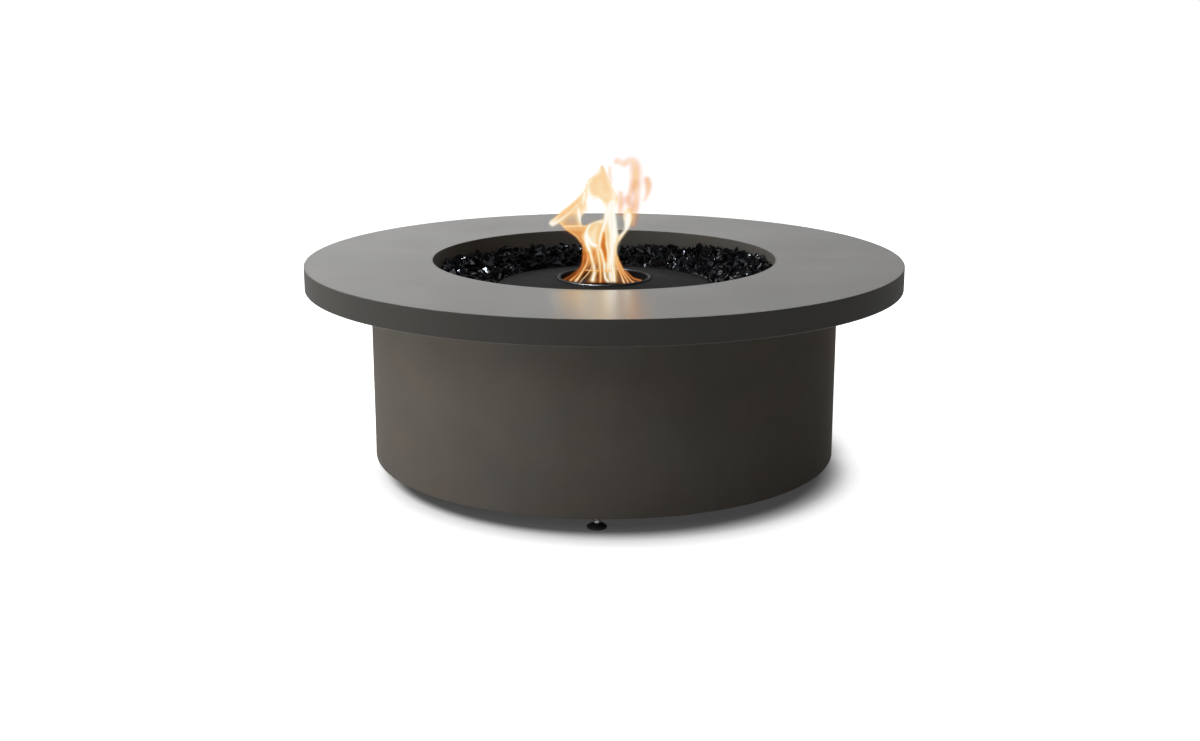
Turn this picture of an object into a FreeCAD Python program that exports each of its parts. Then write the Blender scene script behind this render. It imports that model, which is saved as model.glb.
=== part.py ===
"""Round concrete fire pit table with a lift-out burner, crushed glass and levelling feet.

Millimetres. Z = 0 is the floor, the table's axis is the Z axis, and -Y is the front.
"""
import FreeCAD
import Part

import math
import os
import random

from FreeCAD import Vector

# Concrete top: a slab with a collar below it, and a ledge inside the collar
TOP_RADIUS = 635.0
TOP_THICKNESS = 50.0
TOP_EDGE_ROUND = 1.5
PIT_RADIUS = 366.0
PIT_EDGE_ROUND = 1.0
COLLAR_WALL = 26.0
COLLAR_DEPTH = 120.0
LEDGE_WIDTH = 31.0
LEDGE_THICKNESS = 18.0

# Concrete drum below it, open at the bottom, with room round the collar for the brackets
COLLAR_ROOM = 78.0
DRUM_HEIGHT = 370.0
DRUM_WALL = 28.0
DRUM_EDGE_ROUND = 3.0
FLANGE_WIDTH = 50.0
FLANGE_THICKNESS = 32.0
FLOOR_GAP = 25.0

# Angle brackets that hold the top on the drum, turned half a step from the feet
BRACKET_COUNT = 4
BRACKET_LEG = 50.0
BRACKET_WIDTH = 40.0
BRACKET_SHEET = 4.0
BRACKET_HOLE_FROM_CORNER = 30.0
BOLT_RADIUS = 4.0
BOLT_LENGTH = 20.0
BOLT_HEAD_FLATS = 13.0
BOLT_HEAD_HEIGHT = 5.3
WASHER_RADIUS = 8.0
WASHER_THICKNESS = 1.6
INSERT_RADIUS = 7.0
INSERT_LENGTH = 19.0
INSERT_END = 2.0

# Steel tray for the glass, and the well that hangs in it for the burner
SHEET = 2.0
TRAY_HEIGHT = 30.0
TRAY_SIDE_GAP = 4.0
GASKET_THICKNESS = 2.0
GASKET_MARGIN = 1.0
WELL_FLANGE = 12.0
WELL_SIDE_GAP = 4.0
WELL_RIVET_COUNT = 8
RIVET_RADIUS = 2.4
RIVET_HEAD_RADIUS = 4.5
RIVET_HEAD_HEIGHT = 1.5
DRAIN_RADIUS = 10.0
GROMMET_LIP = 4.0
GROMMET_THICKNESS = 2.0
GROMMET_WALL = 3.5

# Burner
PLATE_RADIUS = 232.0
PLATE_EDGE_DEPTH = 61.0
PLATE_RISE = 16.0
PLATE_SHEET = 2.0
PLATE_SKIRT = 12.0
PLATE_EDGE_ROUND = 1.5
BURNER_HEIGHT = 106.0
CASING_SHEET = 1.5
CASING_SIDE_GAP = 2.0
TANK_SIDE_GAP = 6.5
TANK_FLOOR_GAP = 6.0
SPACER_COUNT = 6
SPACER_RADIUS = 10.0
SPACER_CIRCLE_RADIUS = 170.0
PAD_COUNT = 4
PAD_RADIUS = 12.0
PAD_HEIGHT = 3.0
PAD_CIRCLE_RADIUS = 180.0
PAD_START_ANGLE = 45.0
SKIRT_RIVET_COUNT = 6
SKIRT_RIVET_START_ANGLE = 30.0
SKIRT_RIVET_DROP = 7.0
SKIRT_RIVET_HEAD = 1.6
SKIRT_RIVET_TAIL_RADIUS = 3.4

# Burner neck: tube, rolled lip, hidden flange under the plate, and a bead that carries the ring
MOUTH_RADIUS = 94.0
NECK_WALL = 2.0
NECK_DEPTH = 58.0
LIP_WIDTH = 8.0
LIP_RISE = 3.0
LIP_ROUND = 3.6
LIP_GROOVE = 1.5
NECK_FLANGE = 12.0
BEAD_DEPTH = 18.0
BEAD_WIDTH = 4.0
BEAD_HEIGHT = 3.0

# Efficiency ring that lies loose in the neck
RING_BORE = 48.0
RING_THICKNESS = 1.5
RING_SIDE_GAP = 1.0
RING_EDGE = 6.0
RING_HOLE_RADIUS = 7.0

# Crushed glass: heaped towards +X
GLASS_OUTER_DEPTH = 42.0
GLASS_LEAN = 9.0
GLASS_SIDE_GAP = 0.4
LUMP_SIZE = 24.0
LUMP_PITCH = 30.0
LUMP_HEIGHT = 16.0
LUMP_EDGE_ROOM = 3.0
LUMP_JITTER = 2.0
LUMP_CORNERS = 5
LUMP_SEED = 7

# The bowl that shapes the bed's top reaches this share of its width past the burner
BOWL_REACH = 1.2

# Shares of a lump: the smallest of its size and height, its foot, and how uneven its corners are
LUMP_SMALLEST = 0.85
LUMP_LOWEST = 0.55
LUMP_FOOT = 0.8
LUMP_CROWN = (0.45, 0.85)
LUMP_UNEVEN = 0.2

# Levelling feet
FOOT_INSET = 27.0
FOOT_RADIUS = 19.5
FOOT_RIM = 4.0
FOOT_HEIGHT = 11.0
FOOT_NECK_RADIUS = 9.0
FOOT_EDGE_ROUND = 1.0
FOOT_SOCKET_DEPTH = 6.0
STEM_RADIUS = 5.0
STEM_HEX_FLATS = 14.0
STEM_HEX_HEIGHT = 4.0
STEM_TOP_ROOM = 2.0
STEM_CHAMFER = 1.0
LOCK_NUT_FLATS = 17.0
LOCK_NUT_HEIGHT = 5.0
FOOT_INSERT_RADIUS = 8.0
FOOT_INSERT_COVER = 4.0

# Clearances: a screw in its thread, a hole round what passes it, a seat across a joint, and
# sheet metal beside its neighbour
THREAD_CLEARANCE = 0.05
HOLE_CLEARANCE = 0.5
SEAT_CLEARANCE = 0.2
SHEET_CLEARANCE = 0.1

# How far a cutting shape runs past the face it cuts
CUT_PAST = 1.0

# Heights and radii that follow
DRUM_TOP = FLOOR_GAP + DRUM_HEIGHT
TOP_SURFACE = DRUM_TOP + TOP_THICKNESS
DRUM_BORE = PIT_RADIUS + COLLAR_WALL + COLLAR_ROOM
DRUM_RADIUS = DRUM_BORE + DRUM_WALL
COLLAR_BOTTOM = TOP_SURFACE - COLLAR_DEPTH
LEDGE_TOP = COLLAR_BOTTOM + LEDGE_THICKNESS
LEDGE_BORE = PIT_RADIUS - LEDGE_WIDTH
TRAY_RADIUS = PIT_RADIUS - TRAY_SIDE_GAP
TRAY_BOTTOM = LEDGE_TOP + GASKET_THICKNESS
TRAY_FLOOR = TRAY_BOTTOM + SHEET
WELL_BORE = PLATE_RADIUS + WELL_SIDE_GAP
PLATE_EDGE = TOP_SURFACE - PLATE_EDGE_DEPTH
WELL_FLOOR = PLATE_EDGE - BURNER_HEIGHT
PLATE_BORE = MOUTH_RADIUS + LIP_WIDTH + LIP_GROOVE
PLATE_SLOPE = PLATE_RISE / (PLATE_RADIUS - PLATE_BORE)
LIP_TOP = PLATE_EDGE + PLATE_RISE + LIP_RISE
CASING_RADIUS = PLATE_RADIUS - PLATE_SHEET - CASING_SIDE_GAP
CASING_BOTTOM = WELL_FLOOR + SEAT_CLEARANCE + PAD_HEIGHT
TANK_RADIUS = CASING_RADIUS - CASING_SHEET - TANK_SIDE_GAP
TANK_BOTTOM = CASING_BOTTOM + CASING_SHEET + TANK_FLOOR_GAP
FOOT_PLACE = DRUM_RADIUS - FOOT_INSET
FOOT_INSERT_LENGTH = FLANGE_THICKNESS - FOOT_INSERT_COVER
FOOT_SIDES = {"front": -90.0, "right": 0.0, "back": 90.0, "left": 180.0}
BRACKET_FACE = math.sqrt(DRUM_BORE ** 2 - (BRACKET_WIDTH / 2) ** 2) - SEAT_CLEARANCE
BRACKET_BOLT_HEIGHT = DRUM_TOP - BRACKET_HOLE_FROM_CORNER
BRACKET_BOLT_PLACE = BRACKET_FACE - BRACKET_HOLE_FROM_CORNER
BRACKET_ANGLES = [(n + 0.5) * 360.0 / BRACKET_COUNT for n in range(BRACKET_COUNT)]

Z = Vector(0, 0, 1)
ORIGIN = Vector(0, 0, 0)


def rounded_outline(corners):
    """A closed wire in the XZ plane through (radius, height, round) corners."""
    points = [Vector(c[0], 0, c[1]) for c in corners]
    rounds = [c[2] if len(c) > 2 else 0.0 for c in corners]
    edges, first, last = [], None, None
    for i, corner in enumerate(points):
        to_last = (points[i - 1] - corner).normalize()
        to_next = (points[(i + 1) % len(points)] - corner).normalize()
        if rounds[i] > 0:
            half = to_last.getAngle(to_next) / 2
            reach = rounds[i] / math.tan(half)
            start, end = corner + to_last * reach, corner + to_next * reach
            middle_way = (to_last + to_next).normalize()
            middle = corner + middle_way * (rounds[i] / math.sin(half) - rounds[i])
        else:
            start = end = corner
        if last is not None:
            edges.append(Part.LineSegment(last, start).toShape())
        if rounds[i] > 0:
            edges.append(Part.Arc(start, middle, end).toShape())
        first = start if first is None else first
        last = end
    edges.append(Part.LineSegment(last, first).toShape())
    return Part.Wire(edges)


def turned(corners):
    """A solid of revolution about Z from its outline's corners."""
    return Part.Face(rounded_outline(corners)).revolve(ORIGIN, Z, 360)


def ring(inner, outer, bottom, top):
    return turned([(inner, bottom), (outer, bottom), (outer, top), (inner, top)])


def rod(radius, bottom, top, x=0.0):
    return Part.makeCylinder(radius, top - bottom, Vector(x, 0, bottom))


def rod_along_x(radius, start, end, height):
    return Part.makeCylinder(radius, end - start, Vector(start, 0, height), Vector(1, 0, 0))


def hexagon(flats, bottom, top, x=0.0):
    corner = flats / math.sqrt(3)
    angles = [math.radians(60 * n) for n in range(7)]
    points = [Vector(x + corner * math.cos(a), corner * math.sin(a), bottom) for a in angles]
    return Part.Face(Part.makePolygon(points)).extrude(Z * (top - bottom))


def turned_to(shape, degrees):
    copy = shape.copy()
    copy.rotate(ORIGIN, Z, degrees)
    return copy


def around(shape, count, start=0.0):
    """Copies of a shape round the Z axis."""
    return [turned_to(shape, start + n * 360.0 / count) for n in range(count)]


def at_angles(shape, degrees):
    return [turned_to(shape, d) for d in degrees]


def top_of_plate(radius):
    """Height of the cone's upper face at a radius."""
    return PLATE_EDGE + (PLATE_RADIUS - radius) * PLATE_SLOPE


def under_plate(radius):
    """Height just below the cone's sheet at a radius."""
    return top_of_plate(radius) - PLATE_SHEET - SHEET_CLEARANCE


def bracket_bolt_axes(from_place, to_place, from_height, to_height, radius):
    """The two rods of one bracket: one outwards into the drum, one up into the slab."""
    outwards = rod_along_x(radius, from_place, to_place, BRACKET_BOLT_HEIGHT)
    upwards = rod(radius, from_height, to_height, BRACKET_BOLT_PLACE)
    return outwards, upwards


def table_top():
    outer = PIT_RADIUS + COLLAR_WALL
    body = turned([
        (LEDGE_BORE, COLLAR_BOTTOM),
        (outer, COLLAR_BOTTOM),
        (outer, DRUM_TOP),
        (TOP_RADIUS, DRUM_TOP, TOP_EDGE_ROUND),
        (TOP_RADIUS, TOP_SURFACE, TOP_EDGE_ROUND),
        (PIT_RADIUS, TOP_SURFACE, PIT_EDGE_ROUND),
        (PIT_RADIUS, LEDGE_TOP),
        (LEDGE_BORE, LEDGE_TOP),
    ])
    pocket = rod(INSERT_RADIUS, DRUM_TOP - CUT_PAST, DRUM_TOP + INSERT_LENGTH, BRACKET_BOLT_PLACE)
    return body.cut(at_angles(pocket, BRACKET_ANGLES))


def pedestal():
    flange_bore = DRUM_BORE - FLANGE_WIDTH
    body = turned([
        (flange_bore, FLOOR_GAP, DRUM_EDGE_ROUND),
        (DRUM_RADIUS, FLOOR_GAP, DRUM_EDGE_ROUND),
        (DRUM_RADIUS, DRUM_TOP),
        (DRUM_BORE, DRUM_TOP),
        (DRUM_BORE, FLOOR_GAP + FLANGE_THICKNESS),
        (flange_bore, FLOOR_GAP + FLANGE_THICKNESS),
    ])
    foot_end = FLOOR_GAP + FOOT_INSERT_LENGTH
    foot_pocket = rod(FOOT_INSERT_RADIUS, FLOOR_GAP - CUT_PAST, foot_end, FOOT_PLACE)
    insert_end = DRUM_BORE + INSERT_LENGTH
    bolt_pocket = rod_along_x(INSERT_RADIUS, BRACKET_FACE, insert_end, BRACKET_BOLT_HEIGHT)
    pockets = at_angles(foot_pocket, FOOT_SIDES.values())
    return body.cut(pockets + at_angles(bolt_pocket, BRACKET_ANGLES))


def bracket_angles():
    """Steel angles in the corner between the drum's wall and the slab."""
    half = BRACKET_WIDTH / 2
    corner = Vector(BRACKET_FACE - BRACKET_SHEET, -half, DRUM_TOP - BRACKET_LEG)
    upright = Part.makeBox(BRACKET_SHEET, BRACKET_WIDTH, BRACKET_LEG, corner)
    corner = Vector(BRACKET_FACE - BRACKET_LEG, -half, DRUM_TOP - BRACKET_SHEET)
    flat = Part.makeBox(BRACKET_LEG, BRACKET_WIDTH, BRACKET_SHEET, corner)
    hole = BOLT_RADIUS + HOLE_CLEARANCE
    holes = bracket_bolt_axes(
        BRACKET_FACE - 2 * BRACKET_SHEET, BRACKET_FACE + CUT_PAST,
        DRUM_TOP - 2 * BRACKET_SHEET, DRUM_TOP + CUT_PAST, hole)
    angle = upright.fuse(flat).removeSplitter().cut(list(holes))
    return at_angles(angle, BRACKET_ANGLES)


def bracket_washers():
    place = BRACKET_FACE - BRACKET_SHEET
    height = DRUM_TOP - BRACKET_SHEET
    outer = bracket_bolt_axes(
        place - WASHER_THICKNESS, place, height - WASHER_THICKNESS, height, WASHER_RADIUS)
    bore = bracket_bolt_axes(
        place - 2 * WASHER_THICKNESS, place + CUT_PAST,
        height - 2 * WASHER_THICKNESS, height + CUT_PAST, BOLT_RADIUS + HOLE_CLEARANCE)
    washers = [o.cut(b) for o, b in zip(outer, bore)]
    return [w for washer in washers for w in at_angles(washer, BRACKET_ANGLES)]


def bracket_bolts():
    place = BRACKET_FACE - BRACKET_SHEET - WASHER_THICKNESS
    height = DRUM_TOP - BRACKET_SHEET - WASHER_THICKNESS
    outwards, upwards = bracket_bolt_axes(
        place, place + BOLT_LENGTH, height, height + BOLT_LENGTH, BOLT_RADIUS)
    head = hexagon(BOLT_HEAD_FLATS, height - BOLT_HEAD_HEIGHT, height, BRACKET_BOLT_PLACE)
    side_head = hexagon(BOLT_HEAD_FLATS, -BOLT_HEAD_HEIGHT, 0)
    side_head.rotate(ORIGIN, Vector(0, 1, 0), 90)
    side_head.translate(Vector(place, 0, BRACKET_BOLT_HEIGHT))
    bolts = [upwards.fuse(head), outwards.fuse(side_head)]
    return [b for bolt in bolts for b in at_angles(bolt, BRACKET_ANGLES)]


def bracket_inserts():
    """Threaded sleeves cast into the slab and the drum's wall."""
    bore = BOLT_RADIUS + THREAD_CLEARANCE
    outer = bracket_bolt_axes(
        DRUM_BORE, DRUM_BORE + INSERT_LENGTH, DRUM_TOP, DRUM_TOP + INSERT_LENGTH, INSERT_RADIUS)
    inner = bracket_bolt_axes(
        DRUM_BORE - CUT_PAST, DRUM_BORE + INSERT_LENGTH - INSERT_END,
        DRUM_TOP - CUT_PAST, DRUM_TOP + INSERT_LENGTH - INSERT_END, bore)
    sleeves = [o.cut(i) for o, i in zip(outer, inner)]
    return [s for sleeve in sleeves for s in at_angles(sleeve, BRACKET_ANGLES)]


def foot_inserts():
    """Threaded sleeves cast into the drum's flange."""
    end = FLOOR_GAP + FOOT_INSERT_LENGTH
    sleeve = rod(FOOT_INSERT_RADIUS, FLOOR_GAP, end, FOOT_PLACE)
    bore_radius = STEM_RADIUS + THREAD_CLEARANCE
    bore = rod(bore_radius, FLOOR_GAP - CUT_PAST, end - STEM_TOP_ROOM / 2, FOOT_PLACE)
    return at_angles(sleeve.cut(bore), FOOT_SIDES.values())


def foot_lock_nuts():
    bottom = FLOOR_GAP - LOCK_NUT_HEIGHT
    nut = hexagon(LOCK_NUT_FLATS, bottom, FLOOR_GAP, FOOT_PLACE)
    bore_radius = STEM_RADIUS + THREAD_CLEARANCE
    bore = rod(bore_radius, bottom - CUT_PAST, FLOOR_GAP + CUT_PAST, FOOT_PLACE)
    return at_angles(nut.cut(bore), FOOT_SIDES.values())


def foot_pad():
    """Moulded pad, a rim with a cone above it and a socket for the stem."""
    socket = STEM_RADIUS + THREAD_CLEARANCE
    socket_floor = FOOT_HEIGHT - FOOT_SOCKET_DEPTH
    pad = turned([
        (0, 0),
        (FOOT_RADIUS, 0, FOOT_EDGE_ROUND),
        (FOOT_RADIUS, FOOT_RIM, FOOT_EDGE_ROUND),
        (FOOT_NECK_RADIUS, FOOT_HEIGHT),
        (socket, FOOT_HEIGHT),
        (socket, socket_floor),
        (0, socket_floor),
    ])
    return pad.translated(Vector(FOOT_PLACE, 0, 0))


def foot_stem():
    """Threaded stem with a hexagon above the pad, reaching up into its insert."""
    bottom = FOOT_HEIGHT - FOOT_SOCKET_DEPTH + SEAT_CLEARANCE
    top = FLOOR_GAP + FOOT_INSERT_LENGTH - STEM_TOP_ROOM
    hex_bottom = FOOT_HEIGHT + SEAT_CLEARANCE
    stem = turned([
        (0, bottom),
        (STEM_RADIUS, bottom),
        (STEM_RADIUS, top - STEM_CHAMFER),
        (STEM_RADIUS - STEM_CHAMFER, top),
        (0, top),
    ]).translated(Vector(FOOT_PLACE, 0, 0))
    return stem.fuse(hexagon(STEM_HEX_FLATS, hex_bottom, hex_bottom + STEM_HEX_HEIGHT, FOOT_PLACE))


def tray_gasket():
    return ring(LEDGE_BORE + GASKET_MARGIN, PIT_RADIUS - GASKET_MARGIN, LEDGE_TOP, TRAY_BOTTOM)


def well_rivet_place():
    return WELL_BORE + SHEET + WELL_FLANGE / 2


def well_rivet_holes(bottom, top):
    hole_radius = RIVET_RADIUS + SHEET_CLEARANCE
    hole = rod(hole_radius, bottom - CUT_PAST, top + CUT_PAST, well_rivet_place())
    return around(hole, WELL_RIVET_COUNT)


def fire_tray():
    """Annular pan that stands on the ledge and holds the glass."""
    bore = WELL_BORE + SHEET + SHEET_CLEARANCE
    pan = turned([
        (bore, TRAY_BOTTOM),
        (TRAY_RADIUS, TRAY_BOTTOM),
        (TRAY_RADIUS, TRAY_BOTTOM + TRAY_HEIGHT),
        (TRAY_RADIUS - SHEET, TRAY_BOTTOM + TRAY_HEIGHT),
        (TRAY_RADIUS - SHEET, TRAY_FLOOR),
        (bore, TRAY_FLOOR),
    ])
    return pan.cut(well_rivet_holes(TRAY_BOTTOM, TRAY_FLOOR))


def burner_well():
    """Cup for the burner that hangs by its flange on the tray."""
    outer = WELL_BORE + SHEET
    top = TRAY_FLOOR + SHEET
    cup = turned([
        (DRAIN_RADIUS, WELL_FLOOR - SHEET),
        (outer, WELL_FLOOR - SHEET),
        (outer, TRAY_FLOOR),
        (outer + WELL_FLANGE, TRAY_FLOOR),
        (outer + WELL_FLANGE, top),
        (WELL_BORE, top),
        (WELL_BORE, WELL_FLOOR),
        (DRAIN_RADIUS, WELL_FLOOR),
    ])
    return cup.cut(well_rivet_holes(TRAY_FLOOR, top))


def well_rivets():
    bottom, top = TRAY_BOTTOM, TRAY_FLOOR + SHEET
    body = rod(RIVET_RADIUS, bottom, top, well_rivet_place())
    upper = rod(RIVET_HEAD_RADIUS, top, top + RIVET_HEAD_HEIGHT, well_rivet_place())
    lower = rod(RIVET_HEAD_RADIUS, bottom - RIVET_HEAD_HEIGHT, bottom, well_rivet_place())
    return around(body.fuse([upper, lower]), WELL_RIVET_COUNT)


def drain_grommet():
    """Rubber ring in the hole of the well's floor."""
    groove = DRAIN_RADIUS - SHEET_CLEARANCE
    lip = DRAIN_RADIUS + GROMMET_LIP
    low, high = WELL_FLOOR - SHEET - SHEET_CLEARANCE, WELL_FLOOR + SHEET_CLEARANCE
    thin = CASING_BOTTOM - WELL_FLOOR - 2 * SEAT_CLEARANCE - SHEET_CLEARANCE
    upper = min(GROMMET_THICKNESS, thin)
    bore = DRAIN_RADIUS - GROMMET_WALL
    return turned([
        (bore, low - GROMMET_THICKNESS),
        (lip, low - GROMMET_THICKNESS),
        (lip, low),
        (groove, low),
        (groove, high),
        (lip, high),
        (lip, high + upper),
        (bore, high + upper),
    ])


def burner_pads():
    pad = rod(PAD_RADIUS, WELL_FLOOR + SEAT_CLEARANCE, CASING_BOTTOM, PAD_CIRCLE_RADIUS)
    return around(pad, PAD_COUNT, PAD_START_ANGLE)


def skirt_rivet_height():
    return PLATE_EDGE - SKIRT_RIVET_DROP


def skirt_rivet_holes():
    hole = rod_along_x(
        RIVET_RADIUS + SHEET_CLEARANCE, TANK_RADIUS + CUT_PAST, PLATE_RADIUS + CUT_PAST,
        skirt_rivet_height())
    return around(hole, SKIRT_RIVET_COUNT, SKIRT_RIVET_START_ANGLE)


def open_pan(radius, bottom):
    """A thin round pan whose wall reaches up to the underside of the burner plate."""
    bore = radius - CASING_SHEET
    return turned([
        (0, bottom),
        (radius, bottom),
        (radius, under_plate(radius)),
        (bore, under_plate(bore)),
        (bore, bottom + CASING_SHEET),
        (0, bottom + CASING_SHEET),
    ])


def burner_casing():
    return open_pan(CASING_RADIUS, CASING_BOTTOM).cut(skirt_rivet_holes())


def burner_tank():
    return open_pan(TANK_RADIUS, TANK_BOTTOM)


def tank_spacers():
    spacer = rod(SPACER_RADIUS, CASING_BOTTOM + CASING_SHEET, TANK_BOTTOM, SPACER_CIRCLE_RADIUS)
    return around(spacer, SPACER_COUNT)


def burner_plate():
    """Shallow cone with a turned-down skirt."""
    inside = PLATE_RADIUS - PLATE_SHEET
    plate = turned([
        (PLATE_BORE, top_of_plate(PLATE_BORE) - PLATE_SHEET),
        (inside, top_of_plate(inside) - PLATE_SHEET),
        (inside, PLATE_EDGE - PLATE_SKIRT),
        (PLATE_RADIUS, PLATE_EDGE - PLATE_SKIRT),
        (PLATE_RADIUS, PLATE_EDGE, PLATE_EDGE_ROUND),
        (PLATE_BORE, top_of_plate(PLATE_BORE)),
    ])
    return plate.cut(skirt_rivet_holes())


def skirt_rivets():
    height = skirt_rivet_height()
    bore, skirt = CASING_RADIUS - CASING_SHEET, PLATE_RADIUS
    tail_start, head_end = bore - SKIRT_RIVET_HEAD, skirt + SKIRT_RIVET_HEAD
    body = rod_along_x(RIVET_RADIUS, tail_start, head_end, height)
    head = rod_along_x(RIVET_HEAD_RADIUS, skirt + SHEET_CLEARANCE, head_end, height)
    tail = rod_along_x(SKIRT_RIVET_TAIL_RADIUS, tail_start, bore - SEAT_CLEARANCE, height)
    return around(body.fuse([head, tail]), SKIRT_RIVET_COUNT, SKIRT_RIVET_START_ANGLE)


def burner_neck():
    """Tube with a rolled lip above the plate, a flange below it and a bead inside."""
    tube = MOUTH_RADIUS + NECK_WALL
    lip = MOUTH_RADIUS + LIP_WIDTH
    flange = lip + NECK_FLANGE
    flange_top = under_plate(flange)
    flange_inner_top = under_plate(PLATE_BORE)
    bead_top = LIP_TOP - BEAD_DEPTH
    return turned([
        (MOUTH_RADIUS, LIP_TOP - NECK_DEPTH),
        (tube, LIP_TOP - NECK_DEPTH),
        (tube, under_plate(tube) - PLATE_SHEET),
        (flange, flange_top - PLATE_SHEET),
        (flange, flange_top),
        (PLATE_BORE, flange_inner_top),
        (lip, flange_inner_top),
        (lip, LIP_TOP, LIP_ROUND),
        (MOUTH_RADIUS, LIP_TOP, LIP_ROUND),
        (MOUTH_RADIUS, bead_top),
        (MOUTH_RADIUS - BEAD_WIDTH, bead_top),
        (MOUTH_RADIUS - BEAD_WIDTH, bead_top - BEAD_HEIGHT),
        (MOUTH_RADIUS, bead_top - BEAD_HEIGHT),
    ])


def efficiency_ring():
    """Flat ring with a turned-down inner edge and two holes to lift it by."""
    bottom = LIP_TOP - BEAD_DEPTH + SEAT_CLEARANCE
    top = bottom + RING_THICKNESS
    outer = MOUTH_RADIUS - RING_SIDE_GAP
    plate = turned([
        (RING_BORE, bottom - RING_EDGE),
        (RING_BORE + RING_THICKNESS, bottom - RING_EDGE),
        (RING_BORE + RING_THICKNESS, bottom),
        (outer, bottom),
        (outer, top),
        (RING_BORE, top, RING_THICKNESS / 2),
    ])
    middle = (RING_BORE + MOUTH_RADIUS) / 2
    hole = rod(RING_HOLE_RADIUS, bottom - CUT_PAST, top + CUT_PAST, middle)
    return plate.cut(around(hole, 2))


def glass_bounds():
    """Inner radius, outer radius and the bed's height at each, before it leans."""
    inner = WELL_BORE + SHEET_CLEARANCE
    outer = PIT_RADIUS - GLASS_SIDE_GAP
    return inner, outer, PLATE_EDGE, TOP_SURFACE - GLASS_OUTER_DEPTH


def bed_height(x, y):
    """Height of the glass bed's upper face, which leans up towards +X at its outer edge."""
    inner, outer, inner_top, outer_top = glass_bounds()
    radius = math.hypot(x, y)
    share = (radius - inner) / (outer - inner)
    return inner_top + share * (outer_top - inner_top + GLASS_LEAN * x / radius)


def space_over_glass():
    """Leaning bowl that runs past the pit's wall, and the space straight above it."""
    inner, outer, inner_top, outer_top = glass_bounds()
    radius = inner + BOWL_REACH * (outer - inner)
    top = inner_top + BOWL_REACH * (outer_top - inner_top)
    lean = math.degrees(math.atan2(BOWL_REACH * GLASS_LEAN, radius))
    low_ring = Part.Wire(Part.makeCircle(inner, Vector(0, 0, inner_top)))
    high_ring = Part.Wire(Part.makeCircle(radius, Vector(0, 0, top)))
    high_ring.rotate(Vector(0, 0, top), Vector(0, 1, 0), -lean)
    bowl = Part.makeLoft([low_ring, high_ring], True, True)
    return bowl.fuse(Part.Face(high_ring).extrude(Z * top))


def glass_bed():
    """One solid for the packed glass in the tray, over the tray's rim to the pit's wall."""
    inner, outer, inner_top, outer_top = glass_bounds()
    rim = TRAY_BOTTOM + TRAY_HEIGHT + SHEET_CLEARANCE
    in_tray = TRAY_RADIUS - SHEET - GLASS_SIDE_GAP
    flange = WELL_BORE + SHEET + WELL_FLANGE
    over_flange = TRAY_FLOOR + SHEET + RIVET_HEAD_HEIGHT + SHEET_CLEARANCE
    high = outer_top + GLASS_LEAN + CUT_PAST
    block = turned([
        (inner, over_flange),
        (flange + SHEET, over_flange),
        (flange + SHEET, TRAY_FLOOR + SHEET_CLEARANCE),
        (in_tray, TRAY_FLOOR + SHEET_CLEARANCE),
        (in_tray, rim),
        (outer, rim),
        (outer, high),
        (inner, high),
    ])
    return block.cut(space_over_glass())


def lump(chance, size, height):
    """A faceted lump of glass on the XY plane: a flat foot, a wide middle and a crown."""
    def ring_of(spread, low, high, twist):
        points = []
        for n in range(LUMP_CORNERS):
            step = n + twist + chance.uniform(-LUMP_UNEVEN, LUMP_UNEVEN)
            angle = 2 * math.pi * step / LUMP_CORNERS
            reach = size / 2 * spread * chance.uniform(1 - LUMP_UNEVEN, 1)
            z = height * chance.uniform(low, high)
            points.append(Vector(reach * math.cos(angle), reach * math.sin(angle), z))
        return points

    foot = ring_of(LUMP_FOOT, 0.0, 0.0, 0.0)
    crown = ring_of(1.0, *LUMP_CROWN, 0.5)
    off_centre = [chance.uniform(-LUMP_UNEVEN, LUMP_UNEVEN) * size for _ in range(2)]
    tip = Vector(*off_centre, height)
    faces = [Part.Face(Part.makePolygon(foot + foot[:1]))]
    for n in range(LUMP_CORNERS):
        after = (n + 1) % LUMP_CORNERS
        for corners in (
            (foot[n], foot[after], crown[n]),
            (foot[after], crown[after], crown[n]),
            (crown[n], crown[after], tip),
        ):
            faces.append(Part.Face(Part.makePolygon(list(corners) + [corners[0]])))
    solid = Part.Solid(Part.Shell(faces))
    if solid.Volume < 0:
        solid.reverse()
    return solid


def lump_places(chance):
    """Places in circles round the burner, far enough apart for a lump each."""
    inner, outer = glass_bounds()[:2]
    first = inner + LUMP_EDGE_ROOM + LUMP_SIZE / 2
    last = outer - LUMP_EDGE_ROOM - LUMP_SIZE / 2
    circles = int((last - first) / LUMP_PITCH) + 1
    for circle in range(circles):
        radius = first + (last - first) * circle / max(circles - 1, 1)
        count = int(2 * math.pi * radius / LUMP_PITCH)
        for n in range(count):
            angle = 2 * math.pi * n / count + chance.uniform(-LUMP_JITTER, LUMP_JITTER) / radius
            reach = radius + chance.uniform(-LUMP_JITTER, LUMP_JITTER)
            yield reach * math.cos(angle), reach * math.sin(angle)


def glass_lumps():
    """Loose lumps on the bed, each in a space of its own, square to the slope."""
    chance = random.Random(LUMP_SEED)
    half = LUMP_SIZE / 2
    lumps = []
    for x, y in lump_places(chance):
        height = LUMP_HEIGHT * chance.uniform(LUMP_LOWEST, 1.0)
        piece = lump(chance, LUMP_SIZE * chance.uniform(LUMP_SMALLEST, 1.0), height)
        slope_x = (bed_height(x + half, y) - bed_height(x - half, y)) / LUMP_SIZE
        slope_y = (bed_height(x, y + half) - bed_height(x, y - half)) / LUMP_SIZE
        upright = Vector(-slope_x, -slope_y, 1).normalize()
        seat = Vector(x, y, bed_height(x, y)) + upright * (2 * SEAT_CLEARANCE)
        piece.Placement = FreeCAD.Placement(seat, FreeCAD.Rotation(Z, upright))
        lumps.append(piece)
    return lumps


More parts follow.
